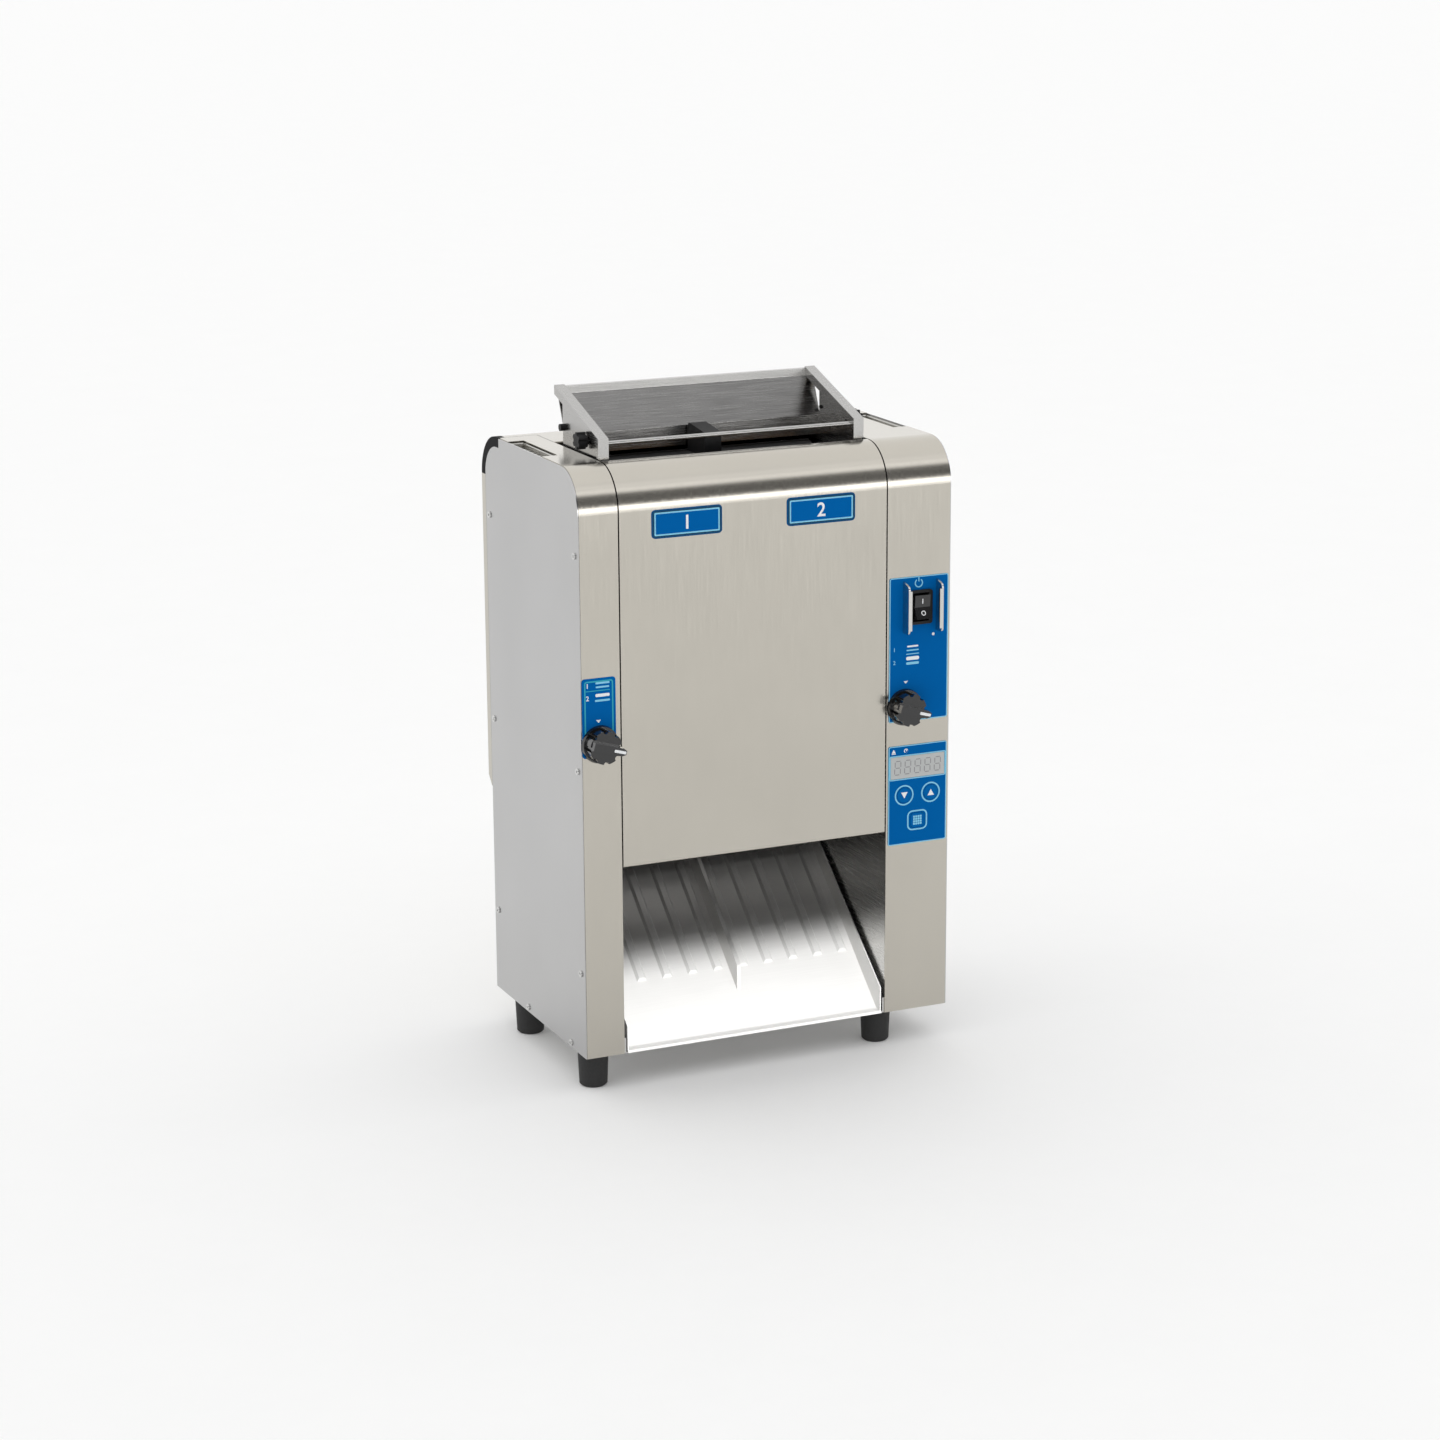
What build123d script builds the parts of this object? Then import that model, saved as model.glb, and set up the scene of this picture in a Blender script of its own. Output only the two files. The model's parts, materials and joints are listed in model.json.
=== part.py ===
from build123d import *
import math
import os

# Vertical contact toaster with two lanes. Millimetres, +Z up, +X to the right of
# someone who faces the front, +Y to the back. The origin is on the table, under
# the middle of the whole machine.

# Overall body
body_width = 400.0
body_depth = 250.0
body_height = 588.0
foot_height = 36.0
front_radius = 43.0
rear_radius = 40.0
sheet = 1.2
seam_gap = 0.7
overrun = 5.0
seat_gap = 0.2

# Housing strips beside the toasting chamber
left_stile_width = 41.6
control_width = 71.3
return_flange = 20.0
door_bottom_height = 192.5
cover_return = 9.0
cover_top_edge = 46.0
cover_hem = 8.0
rear_panel_height = 216.0

# Rear cover tray and its black edge trim
rear_cover_low = 218.0
rear_cover_depth = 10.0
rear_cover_radius_share = 0.25
cheek_gap = 0.3
trim_width = 7.0
trim_band = 10.0
trim_drop = 43.0

# Base pan
pan_wall = 16.0
pan_corner = 6.0
pan_slot_length = 30.0
pan_slot_width = 4.0
pan_slot_pitch = 12.0
pan_slot_count = 6

# Recessed vents in the top outer edges
vent_width = 17.5
vent_length = 92.0
vent_rear_gap = 24.5
vent_depth = 6.0
vent_slot_count = 8
vent_slot_width = 4.0
vent_slot_length = 11.0

# Feet with their studs
foot_radius = 15.5
foot_low_radius = 14.0
foot_bevel = 2.0
foot_stud_radius = 4.0
foot_stud_rise = 12.0
foot_hole_gap = 0.3
foot_inset = 17.0
foot_front = 25.0
foot_rear = 52.0
foot_right_inset = 69.0

# Feeder
feeder_gap = 1.0
feeder_sheet = 1.5
feeder_front = 51.0
feeder_back = 146.0
feeder_overhang = 18.0
feeder_drop = 10.0
feeder_post_height = 20.0
feeder_rise = 37.0
feeder_bar_width = 11.0
feeder_bar_depth = 9.0
feeder_post_depth = 4.0
rod_radius = 2.2
rod_height = 14.5
rod_setback = 57.5
thumb_radius = 8.5
thumb_length = 12.0
thumb_setback = 82.0
thumb_height = 14.5
thumb_neck_radius = 4.0
thumb_neck_length = 2.5
thumb_flute_radius = 2.4
thumb_flute_count = 6
stud_radius = 3.5
stud_length = 5.0
stud_setback = 142.0
stud_height = 18.0
back_plate_hem = 6.0
ledge_width = 16.0
ledge_inset = 12.0
hook_width = 5.0

# Lane divider at the top of the platen
divider_half_width = 9.0
divider_back = 141.5
divider_rise = 14.0
divider_nose = 5.0

# Platen, its heaters and its release sheet
platen_setback = 104.0
platen_thickness = 24.0
platen_low = 215.0
platen_top_drop = 16.0
platen_end_gap = 14.0
platen_top_thickness = 10.0
platen_taper_height = 26.0
platen_lug_height = 18.0
platen_lug_thickness = 14.0
platen_lug_low = 30.0
platen_lug_drop = 57.0
heater_radius = 4.2
heater_fit = 0.1
heater_count = 4
heater_first = 70.0
heater_last_drop = 77.0
heater_tail = 12.0
release_thickness = 0.4
release_gap = 0.05
release_foot_gap = 27.0

# Conveyors, front and rear
front_axis_setback = 38.0
rear_axis_setback = 163.0
drive_height = 235.0
idler_drop = 43.0
roller_radius = 22.0
shaft_radius = 6.0
idler_pin_radius = 5.0
running_gap = 0.05
belt_gap = 0.3
belt_thickness = 1.6
cleat_height = 1.4
cleat_width = 3.0
cleat_pitch = 20.0
cleats_per_arc = 4
frame_wall_gap = 4.0
frame_plate = 2.0
frame_radius = 19.0
belt_side_gap = 2.0
bed_offset = 12.0
bed_thickness = 2.0
bed_end_gap = 34.0
tie_radius = 5.0
bush_outer_radius = 9.0
bush_flange_radius = 11.0
bush_flange = 1.2
shaft_tail = 5.0

# Gears between the two drive shafts
gear_teeth = 16
gear_width = 8.0
gear_gap = 6.0
gear_addendum_share = 0.9
gear_dedendum_share = 1.2
tooth_root_share = 0.62
tooth_tip_share = 0.26
tooth_pitch_share = 0.47
gear_stud_radius = 4.0
gear_bore_web = 7.0
hub_radius = 9.0
hub_length = 3.0

# Gearmotor
gearbox_width = 42.0
gearbox_depth = 54.0
gearbox_height = 44.0
gearbox_edge = 4.0
gearbox_seat = 1.0
motor_radius = 23.0
motor_length = 74.0
motor_shoulder = 6.0
motor_rib_count = 12
motor_rib = 1.5
gear_shaft_radius = 5.0
standoff_radius = 3.0

# Thickness adjusters and their knobs
left_knob_inset = 19.0
left_knob_height = 320.0
right_knob_inset = 20.4
right_knob_height = 321.0
knob_radius = 19.0
knob_reach = 24.0
knob_skirt = 3.5
knob_skirt_top_radius = 18.2
knob_body_radius = 16.5
knob_body_height = 12.5
knob_flute_count = 8
knob_flute_radius = 2.6
knob_bar_width = 8.0
knob_bar_length = 19.0
knob_bar_tail = 15.5
knob_panel_gap = 0.8
knob_bore_depth = 12.0
knob_bore_fit = 0.03
pointer_angle = -16.0
screw_rod_radius = 4.0
screw_rod_tail = 15.0
panel_hole_gap = 0.3
nut_size = 15.0
nut_bore_gap = 0.5
arm_radius = 4.0
arm_slot_travel = 5.0
arm_slot_gap = 0.8

# Front controls: overlays, display, keys and board
overlay_thickness = 0.6
overlay_inset = 3.0
overlay_corner = 2.0
overlay_edge = 2.5
upper_overlay_low = 306.0
upper_overlay_high = 454.0
lower_overlay_low = 177.5
lower_overlay_high = 281.0
display_margin = 11.5
display_height = 22.7
display_depth = 4.5
display_fit = 0.2
display_side = 2.6
key_radius = 7.6
key_fit = 0.3
key_stem = 4.4
key_proud = 0.5
key_drop = 17.8
key_offset = 15.0
select_key_drop = 27.5
select_key_size = 15.0
select_key_corner = 4.0
board_setback = 6.2
board_thickness = 1.6
board_post_radius = 2.5
board_post_inset = 6.0
switch_pad_radius = 3.5
switch_pad_gap = 0.9

# Rocker switch and guards
rocker_height = 422.5
rocker_from_edge = 34.0
bezel_width = 26.0
bezel_height = 35.0
bezel_corner = 3.0
bezel_proud = 2.0
switch_body_width = 22.0
switch_body_height = 31.0
switch_body_depth = 24.0
rocker_width = 17.0
rocker_half_height = 12.0
rocker_peak = 4.0
rocker_tip = 7.0
rocker_root = 3.5
rocker_tilt = 9.0
rocker_side_gap = 0.5
rocker_pivot_depth = 1.0
rocker_pin_radius = 1.5
rocker_pin_reach = 1.0
rocker_pocket_half = 14.6
rocker_pocket_depth = 10.0
guard_height = 52.5
guard_reach = 13.0
guard_slope = 4.0
guard_thickness = 2.0
guard_hem = 4.0
guard_spread = 39.0
guard_corner = 4.0
guard_lift = 1.2

# Cooling fan, terminal block and cord gland
fan_size = 60.0
fan_thickness = 20.0
fan_bore_radius = 27.0
fan_corner = 5.0
fan_height = 105.0
fan_blade_radius = 26.0
fan_hub_radius = 11.0
fan_blade_count = 5
fan_blade_thickness = 1.6
fan_blade_depth = 12.0
fan_blade_angle = 32.0
fan_spoke_width = 3.0
fan_spoke_depth = 3.0
fan_pin_radius = 2.0
fan_pin_fit = 0.05
grille_slot_width = 4.0
grille_ring_count = 3
grille_ring_pitch = 7.5
grille_first_radius = 8.0
grille_web = 3.0
terminal_length = 44.0
terminal_width = 18.0
terminal_height = 16.0
terminal_from_rear = 52.0
terminal_notch = 5.0
terminal_ways = 4
gland_height = 40.0
gland_radius = 9.5
gland_bore_radius = 5.0
gland_proud = 7.0
gland_inner = 9.0
gland_from_edge = 35.0

# Discharge chute
chute_gap = 3.0
chute_sheet = 1.2
chute_lip_length = 8.0
chute_lip_height = 3.0
chute_angle = 41.0
chute_run = 172.0
chute_bend = 6.0
wing_height = 23.0
rib_per_lane = 5
rib_width = 12.0
rib_height = 3.5
rib_taper = 40.0
rib_low_run = 62.0
rib_high_run = 164.0
chute_divider_height = 28.0
chute_divider_thickness = 4.0
chute_divider_low_run = 43.0
chute_divider_high_run = 168.0
chute_pin_radius = 3.0
chute_pin_run = 150.0
chute_pin_length = 7.0

# Places worked out from the sizes above
front_y = knob_reach - (body_depth + rear_cover_depth + knob_reach) / 2
rear_y = front_y + body_depth
left_x = -body_width / 2
right_x = body_width / 2
base_z = foot_height
top_z = base_z + body_height
chamber_left = left_x + left_stile_width
chamber_right = right_x - control_width
chamber_mid = (chamber_left + chamber_right) / 2
chamber_width = chamber_right - chamber_left
crease_rear = rear_y - rear_radius
vent_rear_y = crease_rear - vent_rear_gap
vent_front_y = vent_rear_y - vent_length
idler_height = body_height - idler_drop
platen_tall = body_height - platen_top_drop - platen_low
heater_pitch = (platen_tall - heater_first - heater_last_drop) / (heater_count - 1)
release_drop = platen_tall - release_foot_gap
pan_top = base_z + sheet

os.makedirs("parts", exist_ok=True)


def front_plane(y):
    """A plane that faces the front, at depth y, with X to the right and Z up."""
    return Plane(origin=(0, y, 0), x_dir=(1, 0, 0), z_dir=(0, -1, 0))


def hood_face(inset, low):
    """Side outline of the housing as (y, z), set in by inset, from height low up."""
    with BuildSketch() as profile:
        with Locations((front_y + inset, low)):
            Rectangle(
                body_depth - 2 * inset, top_z - inset - low, align=(Align.MIN, Align.MIN)
            )
        crown = profile.vertices().group_by(Axis.Y)[-1].sort_by(Axis.X)
        fillet(crown[0], front_radius - inset)
        crown = profile.vertices().group_by(Axis.Y)[-1].sort_by(Axis.X)
        fillet(crown[-1], rear_radius - inset)
    return profile.sketch


def bent_sheet(points, radii, thickness, side):
    """Section of a bent sheet: a line with rounded corners, thickened to one side."""
    with BuildSketch() as profile:
        with BuildLine():
            FilletPolyline(*points, radius=radii)
            offset(amount=thickness, side=side)
        make_face()
    return profile.sketch


def polygon(points):
    """A face with straight sides."""
    with BuildSketch() as profile:
        with BuildLine():
            Polyline(*points, close=True)
        make_face()
    return profile.sketch


def box_between(low, high):
    """A block between two corners."""
    with BuildPart() as block:
        with Locations(low):
            Box(
                high[0] - low[0], high[1] - low[1], high[2] - low[2],
                align=(Align.MIN, Align.MIN, Align.MIN),
            )
    return block.part


# Base pan: a tray with side and rear walls, open at the front for the chute lip
pan_left = left_x + 2 * sheet
pan_right = right_x - 2 * sheet
pan_front = front_y + sheet
pan_rear = rear_y - sheet
pan_mid_y = (pan_front + pan_rear) / 2
foot_spots = [
    (left_x + foot_inset, front_y + foot_front),
    (left_x + foot_inset, rear_y - foot_rear),
    (right_x - foot_right_inset, front_y + foot_front),
    (right_x - foot_right_inset, rear_y - foot_rear),
]
with BuildPart() as base_pan:
    with BuildSketch(Plane.XY.offset(base_z)):
        with Locations(((pan_left + pan_right) / 2, pan_mid_y)):
            RectangleRounded(pan_right - pan_left, pan_rear - pan_front, pan_corner)
    extrude(amount=pan_wall)
    with BuildSketch(Plane.XY.offset(pan_top)):
        with Locations(((pan_left + pan_right) / 2, pan_mid_y)):
            RectangleRounded(
                pan_right - pan_left - 2 * sheet, pan_rear - pan_front - 2 * sheet,
                pan_corner - sheet,
            )
    extrude(amount=pan_wall, mode=Mode.SUBTRACT)
    with BuildSketch(Plane.XY.offset(pan_top)):
        with Locations(((chamber_left + chamber_right) / 2, pan_front)):
            Rectangle(chamber_width - chute_gap, 2 * pan_corner)
    extrude(amount=pan_wall, mode=Mode.SUBTRACT)
    with BuildSketch(Plane.XY.offset(base_z)):
        with Locations(*foot_spots):
            Circle(foot_stud_radius + foot_hole_gap)
        with Locations(((chamber_right + pan_right) / 2, pan_mid_y)):
            with GridLocations(0, pan_slot_pitch, 1, pan_slot_count):
                Rectangle(pan_slot_length, pan_slot_width)
    extrude(amount=sheet, mode=Mode.SUBTRACT)
base_pan.part.label = "base_pan"
export_step(base_pan.part, "parts/base_pan.step")


# Lines of the rear cover, which the side panels make room for
cover_back = rear_y + rear_cover_depth
rear_low_z = base_z + rear_cover_low
tray_radius = rear_radius + rear_cover_radius_share * rear_cover_depth
trim_z = top_z - trim_drop


def tray_line(inset):
    """Outer or inner line of the rear cover, from its foot to the top crease."""
    return [
        (rear_y + sheet, rear_low_z),
        (cover_back - inset, rear_low_z + rear_cover_depth),
        (cover_back - inset, top_z - inset),
        (crease_rear + seam_gap, top_z - inset),
    ]


def tray_side():
    """Side cheek of the rear cover, behind the side panel and below the black trim."""
    with BuildSketch() as cheek:
        add(polygon([*tray_line(0), (crease_rear + seam_gap, rear_low_z)]))
        add(hood_face(seam_gap - cheek_gap, base_z - overrun), mode=Mode.SUBTRACT)
        with Locations((rear_y, (rear_low_z + trim_z) / 2)):
            Rectangle(2 * body_depth, trim_z - rear_low_z, mode=Mode.INTERSECT)
    return cheek.sketch


def trim_face(gap):
    """Band of a black edge trim around the rear top corner, wider by gap all round."""
    return bent_sheet(
        [
            (cover_back + gap, trim_z - gap),
            (cover_back + gap, top_z + gap),
            (crease_rear + seam_gap - gap, top_z + gap),
        ],
        tray_radius + gap, trim_band + 2 * gap, Side.LEFT,
    )


# Side panels, cut back under the black edge trims
def side_panel(outer_x):
    """Flat side of the housing, one sheet thick, from outer_x towards +X."""
    with BuildPart() as panel:
        with BuildSketch(Plane.YZ.offset(outer_x)):
            add(hood_face(seam_gap, base_z))
            add(trim_face(cheek_gap), mode=Mode.SUBTRACT)
        extrude(amount=sheet)
    return panel.part


with BuildPart() as left_side_panel:
    add(side_panel(left_x))
left_side_panel.part.label = "left_side_panel"
export_step(left_side_panel.part, "parts/left_side_panel.step")

with BuildPart() as right_side_panel:
    add(side_panel(right_x - sheet))
right_side_panel.part.label = "right_side_panel"
export_step(right_side_panel.part, "parts/right_side_panel.step")


# Housing wraps: front strip, arc and top strip in one bend, with a return flange
def wrap_strip(low_x, high_x, flange_x):
    """Strip of the hood from low_x to high_x, with its return flange at flange_x."""
    rear_cut = (crease_rear, base_z - overrun)
    with BuildPart() as strip:
        with BuildSketch(Plane.YZ.offset(low_x)):
            add(hood_face(0, base_z))
            add(hood_face(sheet, base_z - overrun), mode=Mode.SUBTRACT)
            with Locations(rear_cut):
                Rectangle(body_depth, 2 * body_height, align=(Align.MIN, Align.MIN), mode=Mode.SUBTRACT)
        extrude(amount=high_x - low_x)
        with BuildSketch(Plane.YZ.offset(flange_x)):
            add(hood_face(0, base_z))
            add(hood_face(return_flange, base_z - overrun), mode=Mode.SUBTRACT)
            with Locations(rear_cut):
                Rectangle(body_depth, 2 * body_height, align=(Align.MIN, Align.MIN), mode=Mode.SUBTRACT)
        extrude(amount=sheet)
    return strip.part


def vent_cut(low_x, high_x):
    """Space of a top vent between two X places."""
    return box_between(
        (low_x, vent_front_y, top_z - vent_depth),
        (high_x, vent_rear_y, top_z + overrun),
    )


left_knob_x = left_x + left_knob_inset
left_knob_z = base_z + left_knob_height
right_knob_x = chamber_right + right_knob_inset
right_knob_z = base_z + right_knob_height
screw_hole_radius = screw_rod_radius + panel_hole_gap

with BuildPart() as left_wrap_panel:
    add(wrap_strip(left_x + sheet, chamber_left - seam_gap, left_x + sheet))
    add(vent_cut(left_x, left_x + vent_width), mode=Mode.SUBTRACT)
    with BuildSketch(front_plane(front_y)):
        with Locations((left_knob_x, left_knob_z)):
            Circle(screw_hole_radius)
    extrude(amount=-sheet, mode=Mode.SUBTRACT)
left_wrap_panel.part.label = "left_wrap_panel"
export_step(left_wrap_panel.part, "parts/left_wrap_panel.step")

panel_left = chamber_right + overlay_inset
panel_right = right_x - overlay_edge
panel_mid = (panel_left + panel_right) / 2
panel_width = panel_right - panel_left
rocker_x = right_x - rocker_from_edge
rocker_z = base_z + rocker_height
display_z = base_z + lower_overlay_high - display_margin - display_height / 2
display_width = panel_width - 2 * display_side
key_z = display_z - display_height / 2 - key_drop
select_z = key_z - select_key_drop
round_key_spots = [(panel_mid - key_offset, key_z), (panel_mid + key_offset, key_z)]

with BuildPart() as control_wrap_panel:
    add(wrap_strip(chamber_right + seam_gap, right_x - sheet, right_x - 2 * sheet))
    add(vent_cut(right_x - vent_width, right_x), mode=Mode.SUBTRACT)
    with BuildSketch(front_plane(front_y)):
        with Locations((right_knob_x, right_knob_z)):
            Circle(screw_hole_radius)
        with Locations((rocker_x, rocker_z)):
            Rectangle(switch_body_width + 2 * seat_gap, switch_body_height + 2 * seat_gap)
        with Locations((panel_mid, display_z)):
            Rectangle(display_width + 2 * display_fit, display_height + 2 * display_fit)
        with Locations(*round_key_spots):
            Circle(key_radius + key_fit)
        with Locations((panel_mid, select_z)):
            Rectangle(select_key_size + 2 * key_fit, select_key_size + 2 * key_fit)
    extrude(amount=-sheet, mode=Mode.SUBTRACT)
control_wrap_panel.part.label = "control_wrap_panel"
export_step(control_wrap_panel.part, "parts/control_wrap_panel.step")


# Slotted vent plates in the two recesses
vent_plate_top = top_z - vent_depth
vent_mid_y = (vent_front_y + vent_rear_y) / 2
vent_slot_pitch = vent_length / (vent_slot_count + 1)
with BuildPart() as vent_plates:
    with BuildSketch(Plane.XY.offset(vent_plate_top)):
        for low_x, high_x in (
            (left_x + 2 * sheet, left_x + vent_width + return_flange / 2),
            (right_x - vent_width - return_flange / 2, right_x - 2 * sheet),
        ):
            with Locations(((low_x + high_x) / 2, vent_mid_y)):
                Rectangle(high_x - low_x, vent_length - 2 * seat_gap)
    extrude(amount=-sheet)
    with BuildSketch(Plane.XY.offset(vent_plate_top)):
        for middle in (left_x + vent_width / 2, right_x - vent_width / 2):
            with Locations((middle + sheet * math.copysign(1, -middle), vent_mid_y)):
                with GridLocations(0, vent_slot_pitch, 1, vent_slot_count):
                    Rectangle(vent_slot_length, vent_slot_width)
    extrude(amount=-sheet, mode=Mode.SUBTRACT)
vent_plates.part.label = "vent_plates"
export_step(vent_plates.part, "parts/vent_plates.step")


# Inner walls of the toasting chamber
front_axis_y = front_y + front_axis_setback
rear_axis_y = front_y + rear_axis_setback
drive_z = base_z + drive_height
idler_z = base_z + idler_height
platen_y = front_y + platen_setback
platen_foot_z = base_z + platen_low
arm_slot_length = 2 * (arm_slot_travel + arm_radius + arm_slot_gap)
heater_spots = [
    (platen_y, platen_foot_z + heater_first + i * heater_pitch) for i in range(heater_count)
]
feeder_low_z = top_z - feeder_drop
ledge_reach = seam_gap + feeder_gap + 2 * feeder_sheet
hook_spot = (front_y + cover_top_edge, top_z - cover_hem - seat_gap - sheet / 2)
ledge_spots = [
    (front_y + feeder_front + ledge_inset, feeder_low_z - seat_gap - sheet / 2),
    (front_y + feeder_back - ledge_inset, feeder_low_z - seat_gap - sheet / 2),
]
lip_y = front_y + sheet
lip_z = pan_top + seat_gap
ramp_start_y = lip_y + chute_lip_length
ramp_angle = math.radians(chute_angle)


def ramp_z(y):
    """Height of the underside of the chute's ramp at depth y."""
    return lip_z + (y - ramp_start_y) * math.tan(ramp_angle)


chute_pin_y = front_y + chute_pin_run
chute_pin_z = ramp_z(chute_pin_y) - (chute_pin_radius + seat_gap) / math.cos(ramp_angle)


def inner_wall(near_x, arm_y, arm_z, face_x, inward, pass_spots):
    """Chamber wall, one sheet thick from near_x towards +X, with its shaft holes.

    On its inner face, at face_x, it carries a pin under the chute, a ledge under the
    hem of the front cover and two ledges under the feeder.
    """
    with BuildPart() as wall:
        with BuildSketch(Plane.YZ.offset(near_x)):
            add(hood_face(sheet + seat_gap, pan_top))
            with Locations((front_axis_y, drive_z), (rear_axis_y, drive_z)):
                Circle(bush_outer_radius + running_gap, mode=Mode.SUBTRACT)
            with Locations((arm_y, arm_z)):
                SlotOverall(arm_slot_length, 2 * (arm_radius + arm_slot_gap), mode=Mode.SUBTRACT)
            for y, z in pass_spots:
                with Locations((y, z)):
                    Circle(heater_radius + seat_gap, mode=Mode.SUBTRACT)
            with Locations((rear_y, pan_top)):
                Rectangle(2 * (2 * sheet + seat_gap), 2 * body_height, mode=Mode.SUBTRACT)
            with Locations((rear_y, base_z + rear_panel_height - sheet / 2)):
                Rectangle(
                    2 * (return_flange + seat_gap), sheet + 2 * seat_gap, mode=Mode.SUBTRACT
                )
            with Locations((front_y, base_z)):
                Rectangle(
                    2 * (2 * sheet + seat_gap), 2 * (pan_wall + seat_gap), mode=Mode.SUBTRACT
                )
            with Locations((front_y + foot_front, base_z), (rear_y - foot_rear, base_z)):
                Rectangle(
                    2 * foot_stud_radius + sheet, 2 * foot_stud_rise + sheet, mode=Mode.SUBTRACT
                )
        extrude(amount=sheet)
        with BuildSketch(Plane.YZ.offset(face_x)):
            with Locations((chute_pin_y, chute_pin_z)):
                Circle(chute_pin_radius)
        extrude(amount=inward * chute_pin_length)
        with BuildSketch(Plane.YZ.offset(face_x)):
            with Locations(*ledge_spots):
                Rectangle(ledge_width, sheet)
            with Locations(hook_spot):
                Rectangle(hook_width, sheet)
        extrude(amount=inward * ledge_reach)
    return wall.part


gear_pitch_radius = (rear_axis_y - front_axis_y) / 6
motor_gear_y = front_axis_y + 2 * gear_pitch_radius
idler_gear_y = front_axis_y + 4 * gear_pitch_radius
gear_low_x = chamber_right + sheet + gear_gap
gear_high_x = gear_low_x + gear_width

with BuildPart() as left_inner_wall:
    left_face_x = chamber_left - seam_gap
    add(inner_wall(left_face_x - sheet, rear_axis_y, left_knob_z, left_face_x, 1, []))
left_inner_wall.part.label = "left_inner_wall"
export_step(left_inner_wall.part, "parts/left_inner_wall.step")

with BuildPart() as right_inner_wall:
    right_face_x = chamber_right + seam_gap
    add(inner_wall(right_face_x, front_axis_y, right_knob_z, right_face_x, -1, heater_spots))
    with BuildSketch(Plane.YZ.offset(chamber_right + seam_gap + sheet)):
        with Locations((idler_gear_y, drive_z)):
            Circle(gear_bore_web)
    extrude(amount=gear_gap - hub_length / 2)
    with BuildSketch(Plane.YZ.offset(chamber_right + seam_gap + sheet)):
        with Locations((idler_gear_y, drive_z)):
            Circle(gear_stud_radius)
    extrude(amount=gear_gap + gear_width + hub_length)
right_inner_wall.part.label = "right_inner_wall"
export_step(right_inner_wall.part, "parts/right_inner_wall.step")


# Rear service panel, with the fan grille and the hole of the cord gland
def grille_face():
    """Ring slots around the origin, parted by two webs that cross in the middle."""
    with BuildSketch() as slots:
        for ring in reversed(range(grille_ring_count)):
            ring_radius = grille_first_radius + ring * grille_ring_pitch
            Circle(ring_radius + grille_slot_width / 2)
            Circle(ring_radius - grille_slot_width / 2, mode=Mode.SUBTRACT)
        Rectangle(fan_size, grille_web, mode=Mode.SUBTRACT)
        Rectangle(grille_web, fan_size, mode=Mode.SUBTRACT)
    return slots.sketch


fan_x = (chamber_right + right_x) / 2
fan_z = base_z + fan_height
gland_x = right_x - gland_from_edge
gland_z = base_z + gland_height
with BuildPart() as rear_service_panel:
    with BuildSketch(Plane.YZ.offset(pan_left)):
        add(
            bent_sheet(
                [
                    (rear_y, base_z),
                    (rear_y, base_z + rear_panel_height),
                    (rear_y - return_flange, base_z + rear_panel_height),
                ],
                sheet, sheet, Side.LEFT,
            )
        )
    extrude(amount=pan_right - pan_left)
    with BuildSketch(front_plane(rear_y)):
        with Locations((gland_x, gland_z)):
            Circle(gland_radius - foot_hole_gap)
        with Locations((fan_x, fan_z)):
            add(grille_face())
    extrude(amount=overrun, both=True, mode=Mode.SUBTRACT)
rear_service_panel.part.label = "rear_service_panel"
export_step(rear_service_panel.part, "parts/rear_service_panel.step")


# Front cover: one bent sheet with a hem below, an arc above and narrow side returns
cover_left = chamber_left + seam_gap
cover_right = chamber_right - seam_gap
door_z = base_z + door_bottom_height
cover_rear = front_y + cover_top_edge
with BuildPart() as front_cover:
    with BuildSketch(Plane.YZ.offset(cover_left)):
        add(
            bent_sheet(
                [
                    (front_y + cover_return, door_z + cover_hem),
                    (front_y + cover_return, door_z),
                    (front_y, door_z),
                    (front_y, top_z),
                    (cover_rear, top_z),
                    (cover_rear, top_z - cover_hem),
                ],
                [sheet, sheet, front_radius, 2 * sheet], sheet, Side.RIGHT,
            )
        )
    extrude(amount=cover_right - cover_left)
    with BuildSketch(Plane.YZ.offset(cover_left), Plane.YZ.offset(cover_right - sheet)):
        add(hood_face(sheet / 2, door_z + sheet / 2))
        add(hood_face(cover_return, door_z - overrun), mode=Mode.SUBTRACT)
        with Locations((front_y + front_radius, door_z - overrun)):
            Rectangle(body_depth, 2 * body_height, align=(Align.MIN, Align.MIN), mode=Mode.SUBTRACT)
    extrude(amount=sheet)
front_cover.part.label = "front_cover"
export_step(front_cover.part, "parts/front_cover.step")


# Rear cover: a shallow tray over the back and the rear arc, with a tongue behind the feeder
tongue_front = front_y + feeder_back + feeder_overhang + feeder_gap
with BuildPart() as rear_cover:
    with BuildSketch(Plane.YZ.offset(left_x)):
        add(bent_sheet(tray_line(0), [sheet, tray_radius], sheet, Side.LEFT))
    extrude(amount=body_width)
    with BuildSketch(Plane.YZ.offset(left_x), Plane.YZ.offset(right_x - trim_width)):
        add(trim_face(0))
    extrude(amount=trim_width, mode=Mode.SUBTRACT)
    with BuildSketch(Plane.YZ.offset(left_x), Plane.YZ.offset(right_x - sheet)):
        add(tray_side())
    extrude(amount=sheet)
    with BuildSketch(Plane.YZ.offset(chamber_left)):
        add(
            bent_sheet(
                [
                    (tongue_front, top_z - cover_hem),
                    (tongue_front, top_z),
                    (crease_rear + 2 * seam_gap, top_z),
                ],
                sheet, sheet, Side.RIGHT,
            )
        )
    extrude(amount=chamber_width)
rear_cover.part.label = "rear_cover"
export_step(rear_cover.part, "parts/rear_cover.step")


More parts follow.
